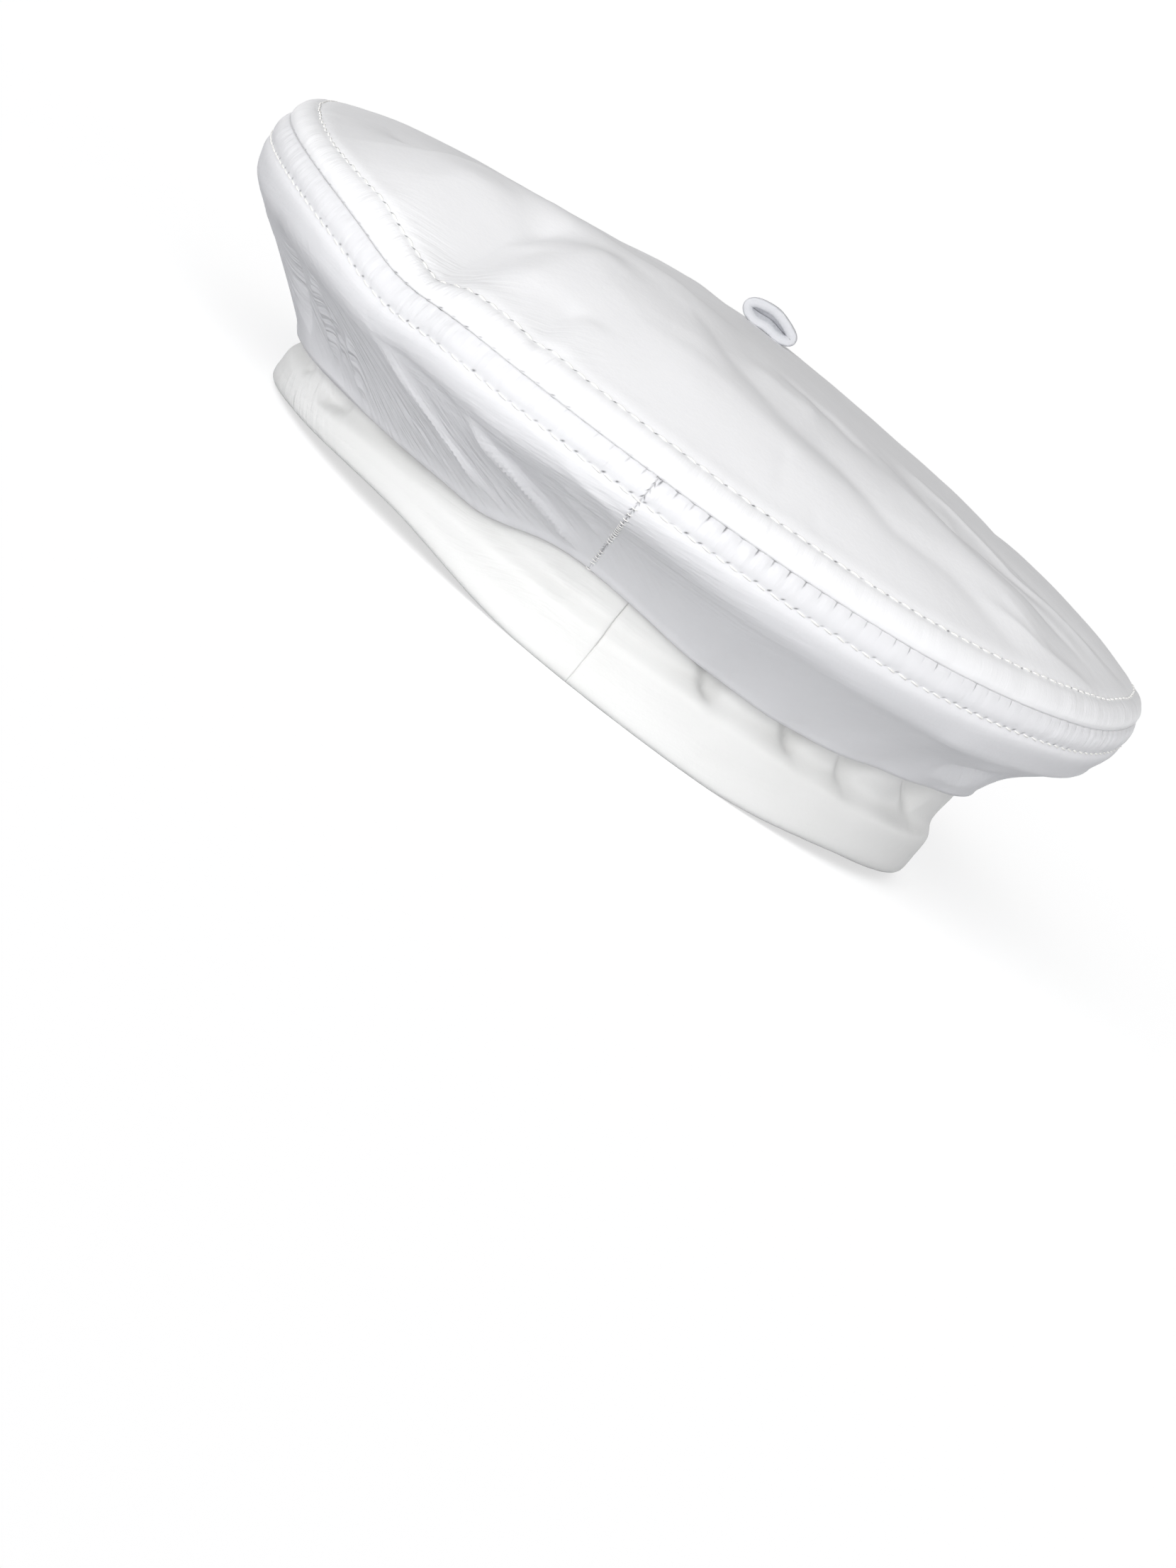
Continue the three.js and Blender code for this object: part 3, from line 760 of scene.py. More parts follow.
# %% Section of the headband
HEM_WALL_EACH = 1.42
BAND_COLUMNS = 620
BAND_ROWS = 70
OUTSIDE_SHARE = 0.52
BAND_GATHER_CREASES = [
    ("gather_1", [(17.5, 28), (20, 22), (24.5, 15.5)], 8.0, 1.3, -3.1),
    ("gather_2", [(31.5, 29), (34.8, 23), (39.5, 16.5)], 8.0, 1.3, -3.2),
    ("gather_3", [(45, 30), (47.3, 23), (50.4, 17)], 7.0, 1.3, -3.0),
    ("gather_4", [(59, 32), (63, 25), (70, 18)], 7.0, 1.5, -3.2),
    ("gather_5", [(77, 31), (80, 26), (84, 20)], 4.0, 1.6, -2.2),
    ("gather_left_1", [(-50, 15), (-54, 11), (-57, 6.5)], 5.0, 3.6, -1.7),
    ("gather_left_2", [(-66, 13), (-68, 9)], 2.5, 3.5, -0.9),
    ("middle_dip", [(-5, 18), (-3, 16), (0, 15.5)], 2.5, 3.5, -0.7),
    ("hem_mark", [(-0.9, 8.5), (-0.9, 3)], 0.7, 1.2, -0.5),
    ("front_gather_1", [(160, 26), (163, 21), (166, 16)], 2.0, 3.6, -1.6),
    ("front_gather_2", [(196, 25), (193, 20), (190, 15)], 2.0, 3.6, -1.6),
    ("front_gather_3", [(214, 24), (216, 19), (219, 14)], 2.0, 3.6, -1.6),
]


def band_sections(angle):
    """For each angle, the strip from its sewn top down to the hem's fold and up the inside."""
    low = hem_z(angle)
    step = HEM_HEIGHT * slumped("hem", angle)
    top = fold_z(angle) + TUCK_RISE + BAND_TOP_MARGIN
    inner = band_out(angle, 0)
    outer = band_out(angle, HEM_WALL)
    face = band_face(angle)
    path = [
        (face, top),
        (face - 0.4, 0.5 * (top + step)),
        (face - 0.8, step + 2.8),
        (outer - 0.35, step - 0.9),
        (outer, step - 3.2),
        (outer, 0.5 * (low + step)),
        (outer, low + 2.2),
        (outer - 0.45, low + 0.6),
        (0.5 * (outer + inner), low),
        (inner + 0.45, low + 0.6),
        (inner, low + 2.2),
        (inner, 0.5 * (low + step)),
        (inner + 0.05, step - 1.2),
    ]
    return spline(np.stack([np.stack(point, -1) for point in path], 1), 8)


# %% Make the headband
def make_headband():
    piece, angle, distance, height, length = strip_grid(
        "band", BAND_COLUMNS, BAND_ROWS, BAND_SEAM_DEGREES, HEAD_RADIUS, band_sections, 0
    )
    half = length * OUTSIDE_SHARE
    outside = np.clip((half - distance) / 4, 0, 1)
    relief = strip_folds(angle, height, HEAD_RADIUS, BAND_GATHER_CREASES, 1) * outside
    points = read(piece, "co")
    relief += 0.35 * soft_noise(points, 24, 9) * outside
    relief += 0.1 * soft_noise(points, 7, 10) * outside
    relief += seam_roll(angle, BAND_SEAM_DEGREES, HEAD_RADIUS, 0.6 * SEAM_ROLL) * outside
    push(piece, relief)
    write_uv(piece, angle * HEAD_RADIUS, distance, TURN * HEAD_RADIUS)
    write_strength(piece, "creased", 0.5 * bumps([(300, 14, 1)], angle))
    write_strength(piece, "streaked", 0.12 + bumps([(346, 14, 0.6), (3, 8, 0.3)], angle) * outside)
    thicken(piece, HEM_WALL_EACH)
    return piece


band = make_headband()

# %% [markdown]
# ## Loop on the crown
# A short strip is folded double, bent round to a flat ring and sewn into the middle of the
# crown. It is seen on its cut edge: a pale rim round a slit. A torus is already a closed ring
# with its own round, so its vertices only have to be moved to the flat ring's places.

# %% Make the loop
LOOP_RIM = 2.6
LOOP_SUNK = 0.9
LOOP_CORNER = 0.35


def make_loop():
    bpy.ops.object.select_all(action="DESELECT")
    bpy.ops.mesh.primitive_torus_add(
        major_segments=120, minor_segments=40, major_radius=1, minor_radius=0.4
    )
    piece = bpy.context.active_object
    piece.name = "loop"
    piece.data.name = "loop"
    torus = read(piece, "co") * MM
    turn = np.arctan2(torus[:, 1], torus[:, 0])
    round_out = np.hypot(torus[:, 0], torus[:, 1]) - 1
    round_turn = np.arctan2(torus[:, 2], round_out)
    half_length = (LOOP_LENGTH - LOOP_THICKNESS) / 2
    half_height = (LOOP_HEIGHT - LOOP_THICKNESS) / 2
    middle_x = half_length * np.cos(turn)
    middle_z = half_height * np.sin(turn) * (1 - 0.15 * np.cos(turn))
    middle_z = middle_z + np.where(np.sin(turn) < 0, 0.9, 0.35) * bell(middle_x, 3.0)
    out_x = half_height * np.cos(turn)
    out_z = half_length * np.sin(turn)
    out_length = np.hypot(out_x, out_z)
    out_x = out_x / out_length
    out_z = out_z / out_length
    section_out = np.sign(np.cos(round_turn)) * np.abs(np.cos(round_turn)) ** LOOP_CORNER
    section_side = np.sign(np.sin(round_turn)) * np.abs(np.sin(round_turn)) ** LOOP_CORNER
    thick = section_out * LOOP_RIM / 2
    flat_x = middle_x + out_x * thick
    flat_z = middle_z + out_z * thick
    shut = np.clip(-2 * section_out, 0, 1) * np.clip((0.9 - np.abs(section_side)) / 0.2, 0, 1)
    flat_z = flat_z * (1 - shut) + 0.6 * bell(flat_x, 3.0) * shut
    tilt = -math.radians(LOOP_TILT_DEGREES)
    x = LOOP_OFFSET_RIGHT + flat_x * math.cos(tilt) - flat_z * math.sin(tilt)
    z = flat_x * math.sin(tilt) + flat_z * math.cos(tilt)
    y = LOOP_OFFSET_FRONT + section_side * LOOP_WIDTH / 2
    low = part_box("top_loop")[0]
    z = z + low.z / MM - z.min() - LOOP_SUNK
    write(piece, np.stack([x, y, z], -1))
    ragged = soft_noise(read(piece, "co"), 1.4, 11)
    cut_edge = bell(np.abs(section_side) - 1, 0.3)
    push(piece, 0.12 * ragged * cut_edge)
    # How far into the slit a vertex lies, which the loop's material darkens: partly grey hide, partly
    # painted shade.
    write_strength(piece, "inner", -section_out * 1.6 - 0.4)
    piece.data.uv_layers[0].name = "leather"
    bpy.ops.object.mode_set(mode="EDIT")
    bpy.ops.mesh.select_all(action="SELECT")
    bpy.ops.mesh.normals_make_consistent(inside=False)
    bpy.ops.object.mode_set(mode="OBJECT")
    bpy.ops.object.shade_smooth()
    print("loop is", [round(float(side), 1) for side in np.ptp(read(piece, "co"), axis=0)], "mm")
    return piece


loop = make_loop()

# %% [markdown]
# ## Threads
# The stitches are white polyester, about 0.45 mm thick and 2.7 mm long. One stitch is modelled
# as a fat-ended bar whose tips dip into the leather, and a row is that bar copied to each place,
# joined to one mesh. A place is found on the formula first and then on the finished leather, so
# that every stitch lies in its groove.

# %% One stitch and a row of them
STITCH_LENGTH = 2.7
THREAD_WIDTH = 0.46
STITCH_SLANT = -0.13
THREAD_LIFT = 0.12
RUNG_LENGTH = 1.4
RUNG_WIDTH = 0.28
RUNG_LIFT = 0.35


def stitch_shape():
    """Vertices of one stitch along x, lying on z = 0, and its faces."""
    bpy.ops.object.select_all(action="DESELECT")
    bpy.ops.mesh.primitive_cylinder_add(
        vertices=8, radius=0.5, depth=1, rotation=(0, math.pi / 2, 0)
    )
    bar = bpy.context.active_object
    bpy.ops.object.transform_apply(location=False, rotation=True, scale=False)
    bpy.ops.object.mode_set(mode="EDIT")
    for cut_at in (-0.3, 0, 0.3):
        bpy.ops.mesh.select_all(action="SELECT")
        bpy.ops.mesh.bisect(plane_co=(cut_at, 0, 0), plane_no=(1, 0, 0))
    bpy.ops.object.mode_set(mode="OBJECT")
    shape = read(bar, "co") * MM
    faces = [tuple(p.vertices) for p in bar.data.polygons]
    bpy.data.objects.remove(bar)
    end = np.abs(shape[:, 0]) / 0.5
    shape[:, 1:] *= (1 - 0.45 * end**3)[:, None]
    shape[:, 2] -= 0.9 * end**2.5
    return shape, faces


def row_of_stitches(name, points, directions, normals, lengths, width):
    """One mesh with a stitch at each point, lying along its direction."""
    shape, faces = stitch_shape()
    corners = []
    all_faces = []
    for i in range(len(points)):
        along = directions[i] - normals[i] * np.dot(directions[i], normals[i])
        along = along / np.linalg.norm(along)
        aside = np.cross(normals[i], along)
        along = along + STITCH_SLANT * aside
        aside = np.cross(normals[i], along)
        place = shape[:, :1] * lengths[i] * along + shape[:, 1:2] * width * aside
        place = place + shape[:, 2:] * width * normals[i] + points[i]
        all_faces += [tuple(v + i * len(shape) for v in face) for face in faces]
        corners.append(place * MM)
    mesh = bpy.data.meshes.new(name)
    mesh.from_pydata(np.concatenate(corners).tolist(), [], all_faces)
    piece = bpy.data.objects.new(name, mesh)
    bpy.context.scene.collection.objects.link(piece)
    bpy.ops.object.select_all(action="DESELECT")
    piece.select_set(True)
    bpy.context.view_layer.objects.active = piece
    bpy.ops.object.shade_smooth()
    print(name, "has", len(points), "stitches")
    return piece


def on_leather(piece, points):
    """The nearest places on the finished leather, and its normals there."""
    found = [piece.closest_point_on_mesh(Vector(p) * MM) for p in points]
    places = np.array([list(hit[1]) for hit in found]) / MM
    normals = np.array([list(hit[2]) for hit in found])
    return places, normals


# %% The three rows
def wobble(count, seed, size):
    """One small uneven value for each stitch of a row."""
    line = np.zeros((count, 3))
    line[:, 0] = np.arange(count) * 1.7
    return size * soft_noise(line, 1.0, seed)


def crown_row():
    count = CROWN_STITCHES
    angle = TURN * (np.arange(count) + 0.5) / count + wobble(count, 21, 0.002)
    ends = []
    for shift in (-0.5, 0.5):
        turned = angle + shift * STITCH_LENGTH / CROWN_ROW_RADIUS
        out = crown_out_at(turned, crown_row_at(turned) + wobble(count, 22, 0.25))
        ends.append(placed(out, turned, crown_dome(turned, out)))
    middle = (ends[0] + ends[1]) / 2
    folds = all_folds(middle[:, 0] / CROWN_RADIUS, middle[:, 1] / CROWN_RADIUS, CROWN_FOLDS)
    share = np.hypot(middle[:, 0], middle[:, 1]) / CROWN_RADIUS
    middle[:, 2] += folds * (1 - share**EDGE_ROUND_POWER)
    full = crown_fullness(crown_row_at(angle))
    middle += placed(full, angle, FULLNESS_LIFT * full)
    places, normals = on_leather(crown, middle)
    places += normals * THREAD_LIFT
    lengths = STITCH_LENGTH * (1 + wobble(count, 23, 0.12))
    along = ends[1] - ends[0]
    return row_of_stitches("crown_stitches", places, along, normals, lengths, THREAD_WIDTH)


def side_row():
    count = SIDE_STITCHES
    angle = TURN * (np.arange(count) + 0.5) / count + wobble(count, 24, 0.002)
    ends = []
    for shift in (-0.5, 0.5):
        turned = angle + shift * STITCH_LENGTH / CROWN_RADIUS
        out, height = along_section(side_sections(turned), np.full((count, 1), SIDE_ROW))
        ends.append(placed(out[:, 0], turned, height[:, 0]))
    middle = (ends[0] + ends[1]) / 2
    places, normals = on_leather(side, middle)
    places += normals * THREAD_LIFT
    lengths = STITCH_LENGTH * (1 + wobble(count, 25, 0.12))
    along = ends[1] - ends[0]
    return row_of_stitches("side_stitches", places, along, normals, lengths, THREAD_WIDTH)


def seam_row():
    """Short stitches that cross the side seam, like the rungs of a ladder."""
    distances = np.arange(8.0, 46.0, RUNG_PITCH)
    angle = np.full(len(distances), math.radians(SIDE_SEAM_DEGREES))
    out, height = along_section(side_sections(angle), distances[:, None])
    middle = placed(out[:, 0], angle, height[:, 0])
    across = np.tile(np.array([1.0, 0.0, 0.25]), (len(middle), 1))
    places, normals = on_leather(side, middle)
    places[:, 0] = middle[:, 0]
    normals[:, 0] = 0
    normals /= np.linalg.norm(normals, axis=1)[:, None]
    places += normals * RUNG_LIFT
    lengths = RUNG_LENGTH * (1 + wobble(len(distances), 26, 0.3))
    return row_of_stitches("seam_stitches", places, across, normals, lengths, RUNG_WIDTH)


threads = [crown_row(), side_row(), seam_row()]

# %% [markdown]
# ## Materials
# White leather is hide that has been tanned, sprayed with a pigmented finish and plated smooth.
# The finish gives a satin gloss, the hide under it a fine grain, and where the leather is drawn
# up the finish breaks into wrinkles that run across the seam. One function turns sRGB hex values
# to linear colour and one adds a node.

# %% Colour and nodes
def linear(hex_colour):
    channels = [int(hex_colour[i:i + 2], 16) / 255 for i in (0, 2, 4)]
    return [c / 12.92 if c <= 0.04045 else ((c + 0.055) / 1.055) ** 2.4 for c in channels] + [1]


def add_node(tree, kind, inputs=None, **settings):
    """Adds a node, sets its settings, and gives each input a value, a hex colour, another node's
    output, or another node, which stands for its first output."""
    new = tree.nodes.new(kind)
    for name, value in settings.items():
        setattr(new, name, value)
    for name, value in (inputs or {}).items():
        if isinstance(value, bpy.types.Node):
            value = value.outputs[0]
        if isinstance(value, bpy.types.NodeSocket):
            tree.links.new(value, new.inputs[name])
        else:
            new.inputs[name].default_value = linear(value) if isinstance(value, str) else value
    return new


def new_material(name):
    material = bpy.data.materials.new(name)
    material.use_nodes = True
    tree = material.node_tree
    return material, tree, tree.nodes["Principled BSDF"]


# A mix node that is set to colours has its two colours and its result at these sockets.
MIX_FIRST = 6
MIX_SECOND = 7
MIX_RESULT = 2


# %% Patterns that the leathers share
# Sizes and depths in millimetres. Each wrinkle row is a strength painted on the mesh, then the
# angle to the seam, the spacing, how many times longer than wide, and the depth.
GRAIN_CELL = 0.6
GRAIN_DEPTH = 0.02
PEEL_SIZE = 3.2
PEEL_DEPTH = 0.07
PATCH_SIZE = 24
MARK_PATCH = 5
MARK_DEPTH = 0.3
# The grey that the spots mix into the leather's colour: painted shade in needle holes, notches and
# rungs.
HOLE_SHADE_COLOUR = "88888C"
LEATHER_IOR = 1.48
WRINKLES = [
    ("drawn", 90, 0.8, 8, 0.3),
    ("creased", -38, 1.2, 8, 0.9),
    ("streaked", 6, 0.8, 7, 0.3),
]


def needle_hole_shade(tree, around, across, row):
    """1 in a small slanted spot at each place of a row, which is its count, its millimetres in
    from the seam, and a spot's length, width and slant in degrees.
    Each spot is a little off its place and has a strength of its own. Its colour is painted shade in the
    hole or notch, and it also dents the bump."""
    count, row_at, length, width, slant = row
    pitch = EDGE_LENGTH / count
    phase = add_node(
        tree, "ShaderNodeMath", {0: around, 1: 1 / (pitch * MM), 2: 0.5}, operation="MULTIPLY_ADD"
    )
    whole = add_node(tree, "ShaderNodeMath", {0: phase}, operation="FLOOR")
    number = add_node(tree, "ShaderNodeMath", {0: whole, 1: row_at}, operation="ADD")
    chance = add_node(tree, "ShaderNodeTexWhiteNoise", {"W": number}, noise_dimensions="1D")
    share = add_node(tree, "ShaderNodeMath", {0: phase}, operation="FRACT")
    along = add_node(
        tree, "ShaderNodeMath", {0: share, 1: pitch, 2: -pitch / 2}, operation="MULTIPLY_ADD"
    )
    off = add_node(
        tree, "ShaderNodeMath", {0: across, 1: 1 / MM, 2: -row_at}, operation="MULTIPLY_ADD"
    )
    off = add_node(tree, "ShaderNodeMath", {0: chance, 1: 0.3, 2: off}, operation="MULTIPLY_ADD")
    place = add_node(tree, "ShaderNodeCombineXYZ", {"X": along, "Y": off})
    slanted = add_node(
        tree, "ShaderNodeMapping",
        {"Vector": place, "Rotation": (0, 0, math.radians(slant)), "Scale": (length, width, 1)},
        vector_type="TEXTURE",
    )
    spread = add_node(
        tree, "ShaderNodeVectorMath", {0: slanted, 1: slanted}, operation="DOT_PRODUCT"
    ).outputs["Value"]
    spot = add_node(tree, "ShaderNodeMath", {0: math.exp(-1), 1: spread}, operation="POWER")
    red = add_node(tree, "ShaderNodeSeparateColor", {"Color": chance.outputs["Color"]})
    strength = add_node(tree, "ShaderNodeMath", {0: red, 1: 0.75, 2: 0.25}, operation="MULTIPLY_ADD")
    return add_node(tree, "ShaderNodeMath", {0: spot, 1: strength}, operation="MULTIPLY")


def stretched_noise(tree, uv, turn_degrees, spacing, stretch):
    """Noise drawn out to fine wrinkles that lie at an angle to the edge seam."""
    turned = add_node(
        tree, "ShaderNodeMapping", {"Vector": uv, "Rotation": (0, 0, math.radians(turn_degrees))}
    )
    drawn_out = add_node(
        tree, "ShaderNodeMapping", {"Vector": turned, "Scale": (1 / stretch, 1, 1)}
    )
    return add_node(
        tree, "ShaderNodeTexNoise",
        {"Vector": drawn_out, "Scale": 1 / (2 * spacing * MM), "Detail": 2, "Roughness": 0.6},
        noise_dimensions="2D",
    )


def leather(name, colour, shade, rows, notches, rungs, roughness):
    """White finished leather, with spots of painted shade at the needle holes of its rows, at the
    notches of a puckered seam and at the rungs of an upright one; the spots also dent the bump."""
    material, tree, skin = new_material(name)
    place = add_node(tree, "ShaderNodeTexCoord").outputs["Object"]
    uv = add_node(tree, "ShaderNodeUVMap", uv_map="leather").outputs["UV"]
    split = add_node(tree, "ShaderNodeSeparateXYZ", {"Vector": uv})
    around, across = split.outputs["X"], split.outputs["Y"]
    grain = add_node(
        tree, "ShaderNodeTexNoise", {"Vector": place, "Scale": 1 / (GRAIN_CELL * MM), "Detail": 1}
    )
    peel = add_node(
        tree, "ShaderNodeTexNoise",
        {"Vector": place, "Scale": 1 / (PEEL_SIZE * MM), "Detail": 2, "Roughness": 0.55},
    )
    patches = add_node(
        tree, "ShaderNodeTexNoise", {"Vector": place, "Scale": 1 / (PATCH_SIZE * MM), "Detail": 1}
    )
    height = add_node(tree, "ShaderNodeMath", {0: grain, 1: GRAIN_DEPTH}, operation="MULTIPLY")
    height = add_node(
        tree, "ShaderNodeMath", {0: peel, 1: PEEL_DEPTH, 2: height}, operation="MULTIPLY_ADD"
    )
    for painted, turn, spacing, stretch, depth in WRINKLES:
        lines = stretched_noise(tree, uv, turn, spacing, stretch)
        strength = add_node(tree, "ShaderNodeAttribute", attribute_name=painted).outputs["Fac"]
        lines = add_node(tree, "ShaderNodeMath", {0: lines, 1: strength}, operation="MULTIPLY")
        height = add_node(
            tree, "ShaderNodeMath", {0: lines, 1: depth, 2: height}, operation="MULTIPLY_ADD"
        )
    spots = [needle_hole_shade(tree, around, across, row) for row in rows]
    for row in notches:
        spot = needle_hole_shade(tree, around, across, row)
        strength = add_node(tree, "ShaderNodeAttribute", attribute_name="notch_dent_and_shade").outputs["Fac"]
        spots.append(
            add_node(tree, "ShaderNodeMath", {0: spot, 1: strength}, operation="MULTIPLY")
        )
    spots += [needle_hole_shade(tree, across, around, row) for row in rungs]
    tone = add_node(
        tree, "ShaderNodeMix", {"Factor": patches, MIX_FIRST: colour, MIX_SECOND: shade},
        data_type="RGBA",
    ).outputs[MIX_RESULT]
    if spots:
        marks = spots[0]
        for spot in spots[1:]:
            marks = add_node(tree, "ShaderNodeMath", {0: marks, 1: spot}, operation="MAXIMUM")
        uneven = add_node(
            tree, "ShaderNodeTexNoise", {"Vector": uv, "Scale": 1 / (MARK_PATCH * MM), "Detail": 0},
            noise_dimensions="2D",
        )
        uneven = add_node(tree, "ShaderNodeMath", {0: uneven, 1: 0.35}, operation="ADD")
        marks = add_node(tree, "ShaderNodeMath", {0: marks, 1: uneven}, operation="MULTIPLY")
        height = add_node(
            tree, "ShaderNodeMath", {0: marks, 1: -MARK_DEPTH, 2: height}, operation="MULTIPLY_ADD"
        )
        # Painted shade: in the spots at needle holes, notches and rungs the base colour is darkened
        # towards the grey.
        marks = add_node(tree, "ShaderNodeMath", {0: marks, 1: 1.0}, operation="MINIMUM")
        tone = add_node(
            tree, "ShaderNodeMix", {"Factor": marks, MIX_FIRST: tone, MIX_SECOND: HOLE_SHADE_COLOUR},
            data_type="RGBA",
        ).outputs[MIX_RESULT]
    bump = add_node(tree, "ShaderNodeBump", {"Strength": 1.0, "Distance": MM, "Height": height})
    tree.links.new(bump.outputs["Normal"], skin.inputs["Normal"])
    tree.links.new(tone, skin.inputs["Base Color"])
    gloss = add_node(tree, "ShaderNodeMapRange", {
        "Value": peel, "From Min": 0.3, "From Max": 0.7,
        "To Min": roughness - 0.05, "To Max": roughness + 0.08,
    })
    tree.links.new(gloss.outputs["Result"], skin.inputs["Roughness"])
    skin.inputs["IOR"].default_value = LEATHER_IOR
    return material


# %% Leathers, thread and the loop's cut edge
def thread_material():
    """Spun polyester sewing thread: matt, white, with the twist of its plies."""
    material, tree, skin = new_material("polyester_thread")
    place = add_node(tree, "ShaderNodeTexCoord").outputs["Object"]
    twist = add_node(
        tree, "ShaderNodeTexNoise", {"Vector": place, "Scale": 1 / (0.25 * MM), "Detail": 1}
    )
    bump = add_node(tree, "ShaderNodeBump", {"Strength": 0.7, "Distance": 0.06 * MM, "Height": twist})
    tree.links.new(bump.outputs["Normal"], skin.inputs["Normal"])
    tone = add_node(
        tree, "ShaderNodeMix", {"Factor": twist, MIX_FIRST: "F4F3F0", MIX_SECOND: "DDDCDA"},
        data_type="RGBA",
    ).outputs[MIX_RESULT]
    tree.links.new(tone, skin.inputs["Base Color"])
    skin.inputs["Roughness"].default_value = 0.7
    return material


def loop_material():
    """The crown's leather, painted darker as painted shade, and darker again inside the loop: partly the
    grey fibres of the hide, partly painted shade in the slit.
    """
    material, tree, skin = new_material("shaded_loop_leather")
    place = add_node(tree, "ShaderNodeTexCoord").outputs["Object"]
    inner = add_node(tree, "ShaderNodeAttribute", attribute_name="inner").outputs["Fac"]
    fibres = add_node(
        tree, "ShaderNodeTexNoise",
        {"Vector": place, "Scale": 1 / (0.5 * MM), "Detail": 4, "Roughness": 0.7},
    )
    # Painted shade: the outside is darker than the crown's leather, and the inside, in the slit, darker
    # again, partly as the grey of the hide.
    outside, hide = [
        add_node(
            tree, "ShaderNodeMix", {"Factor": fibres, MIX_FIRST: dark, MIX_SECOND: pale},
            data_type="RGBA",
        ).outputs[MIX_RESULT]
        for dark, pale in (("BEBFC3", "C8C9CC"), ("8E9096", "BABBBF"))
    ]
    tone = add_node(
        tree, "ShaderNodeMix", {"Factor": inner, MIX_FIRST: outside, MIX_SECOND: hide},
        data_type="RGBA",
    ).outputs[MIX_RESULT]
    tree.links.new(tone, skin.inputs["Base Color"])
    bump = add_node(tree, "ShaderNodeBump", {"Strength": 0.8, "Distance": 0.12 * MM, "Height": fibres})
    tree.links.new(bump.outputs["Normal"], skin.inputs["Normal"])
    skin.inputs["Roughness"].default_value = 0.6
    return material


crown_leather = leather(
    "white_crown_leather", "EAEAEB", "E5E5E6",
    [(CROWN_STITCHES, CROWN_ROW + 0.3, 0.42, 0.19, 25)], [(EDGE_PUFFS, 0.5, 0.5, 0.2, 25)], [], 0.42,
)
# The side panel is the crown's leather, painted a little darker as painted shade under the crown's
# overhang.
shaded_side_leather = leather(
    "white_side_leather", "DFDFE1", "DADADC",
    [(SIDE_STITCHES, SIDE_ROW - 0.1, 0.42, 0.19, -25)], [(EDGE_PUFFS, 0.9, 0.16, 0.75, 8)], SEAM_RUNG_SHADES,
    0.42,
)
band_leather = leather("white_band_leather", "DEDEDD", "D9D9D7", [], [], [], 0.48)
thread = thread_material()
shaded_loop_leather = loop_material()

# %% [markdown]
# ## Hand the pieces to the frame
# Every piece rides on the cap's one body and stands for its solid in the frame. The threads
# stand for nothing: they are small trim on the leather.

# %% Ride and replace
for piece, node, slot, material in (
    (crown, "crown_top", "crown_leather", crown_leather),
    (side, "side_panel", "crown_leather", shaded_side_leather),
    (band, "headband", "band_leather", band_leather),
    (loop, "top_loop", "crown_leather", shaded_loop_leather),
):
    piece.data.materials.append(material)
    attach(piece, "root")
    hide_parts(node)
for row in threads:
    row.data.materials.append(thread)
    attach(row, "root")

# %% [markdown]
# ## Floor and light
# The cap is white on white, so the light does the drawing. Bright low walls on the camera's side
# make the near slope the brightest part, a dimmer wall behind the cap and a dim ceiling leave the
# level top greyer, and a very soft key light from the camera's side gives the creases a shaded
# side. There are two floors: the camera sees a glowing pale one, and the light bounces off a
# duller one just under it, so that the picture's ground is white and the underside isn't lit up.

# %% Floor
FLOOR_RADIUS = 20


def make_disc(name, height, colour, glow):
    """A wide round floor at a height in millimetres, with a glow of its own."""
    bpy.ops.object.select_all(action="DESELECT")
    bpy.ops.mesh.primitive_circle_add(
        vertices=96, radius=FLOOR_RADIUS, fill_type="NGON", location=(0, 0, height * MM)
    )
    disc = bpy.context.active_object
    disc.name = name
    material, tree, skin = new_material(name)
    skin.inputs["Base Color"].default_value = linear(colour)
    skin.inputs["Roughness"].default_value = 0.9
    skin.inputs["Emission Color"].default_value = linear("FFFFFF")
    skin.inputs["Emission Strength"].default_value = glow
    disc.data.materials.append(material)
    return disc


floor = make_disc("pale_floor", 0, "BCBCBC", 0.64)
floor.visible_diffuse = False
floor.visible_glossy = False
floor.visible_shadow = False
bounce = make_disc("bounce_floor", -0.5, "D6D7D9", 0)
bounce.visible_camera = False


# %% Light
NEAR_WALLS = 2.75
FAR_WALL = 1.15
CEILING = 0.3
KEY_ELEVATION_DEGREES = 26
KEY_SIDE_DEGREES = -12
KEY_SOFTNESS_DEGREES = 50
KEY_STRENGTH = 2.2


def add_key():
    """A very soft sun from the side of the camera, a little to its left."""
    light = bpy.data.lights.new("soft_key", "SUN")
    light.energy = KEY_STRENGTH
    light.angle = math.radians(KEY_SOFTNESS_DEGREES)
    lamp = bpy.data.objects.new("soft_key", light)
    bpy.context.scene.collection.objects.link(lamp)
    level = math.cos(math.radians(KEY_ELEVATION_DEGREES))
    side_turn = math.radians(KEY_SIDE_DEGREES)
    source = Vector((level * math.sin(side_turn), -level * math.cos(side_turn), 0))
    source.z = math.sin(math.radians(KEY_ELEVATION_DEGREES))
    lamp.rotation_euler = source.to_track_quat("Z", "Y").to_euler()


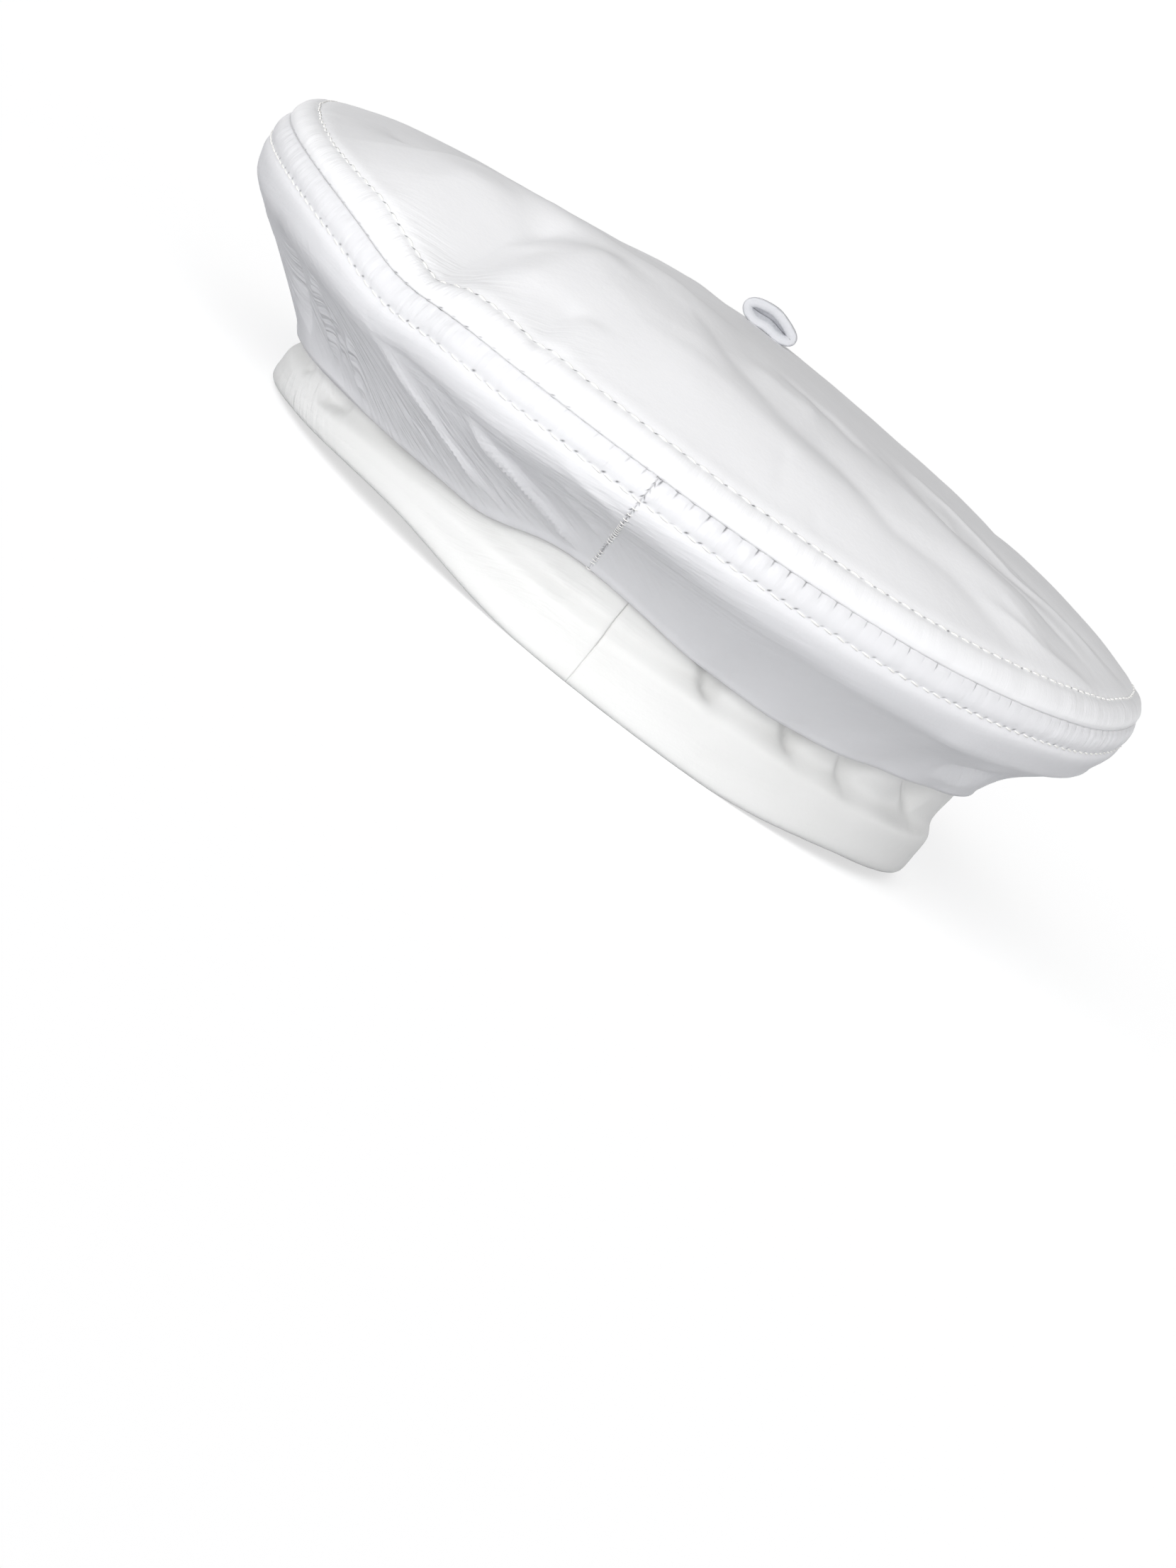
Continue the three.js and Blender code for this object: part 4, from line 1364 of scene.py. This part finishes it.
def add_world():
    """Bright low walls on the camera's side, a dimmer wall behind the cap and a dim ceiling."""
    world = bpy.data.worlds.new("studio_white")
    world.use_nodes = True
    tree = world.node_tree
    direction = add_node(tree, "ShaderNodeTexCoord").outputs["Generated"]
    parts = add_node(tree, "ShaderNodeSeparateXYZ", {"Vector": direction}).outputs
    walls = add_node(
        tree, "ShaderNodeMapRange",
        {"Value": parts["Y"], "From Min": 0.3, "From Max": 0.8,
         "To Min": NEAR_WALLS, "To Max": FAR_WALL},
        interpolation_type="SMOOTHSTEP",
    ).outputs["Result"]
    level = add_node(
        tree, "ShaderNodeMapRange",
        {"Value": parts["Z"], "From Min": 0.12, "From Max": 0.3, "To Min": walls, "To Max": CEILING},
        interpolation_type="SMOOTHSTEP",
    ).outputs["Result"]
    back = tree.nodes["Background"]
    back.inputs["Color"].default_value = linear("FEFEFF")
    tree.links.new(level, back.inputs["Strength"])
    bpy.context.scene.world = world


add_key()
add_world()
bpy.context.scene.view_settings.view_transform = "Standard"

# %% [markdown]
# ## Camera
# The picture shows the cap from behind, a little above its rim, with the whole view rolled. The
# camera stands 750 mm away and looks slightly down, and it is turned about its own axis.

# %% Camera
CAMERA_PLACE = Vector((3.5, -750.0, 103.0)) * MM
CAMERA_TARGET = Vector((31.9, 0.0, -30.0)) * MM
CAMERA_ROLL_DEGREES = 39.5
CAMERA_FOCAL_PIXELS = 4396
PICTURE_HEIGHT = 2212
SENSOR_HEIGHT = 36
camera_data = bpy.data.cameras.new("camera")
camera_data.sensor_fit = "VERTICAL"
camera_data.sensor_height = SENSOR_HEIGHT
camera_data.lens = CAMERA_FOCAL_PIXELS / PICTURE_HEIGHT * SENSOR_HEIGHT
camera = bpy.data.objects.new("camera", camera_data)
bpy.context.scene.collection.objects.link(camera)
look = (CAMERA_TARGET - CAMERA_PLACE).to_track_quat("-Z", "Y").to_matrix()
turned = look @ Matrix.Rotation(math.radians(CAMERA_ROLL_DEGREES), 3, "Z")
camera.matrix_world = Matrix.Translation(CAMERA_PLACE) @ turned.to_4x4()
bpy.context.scene.camera = camera
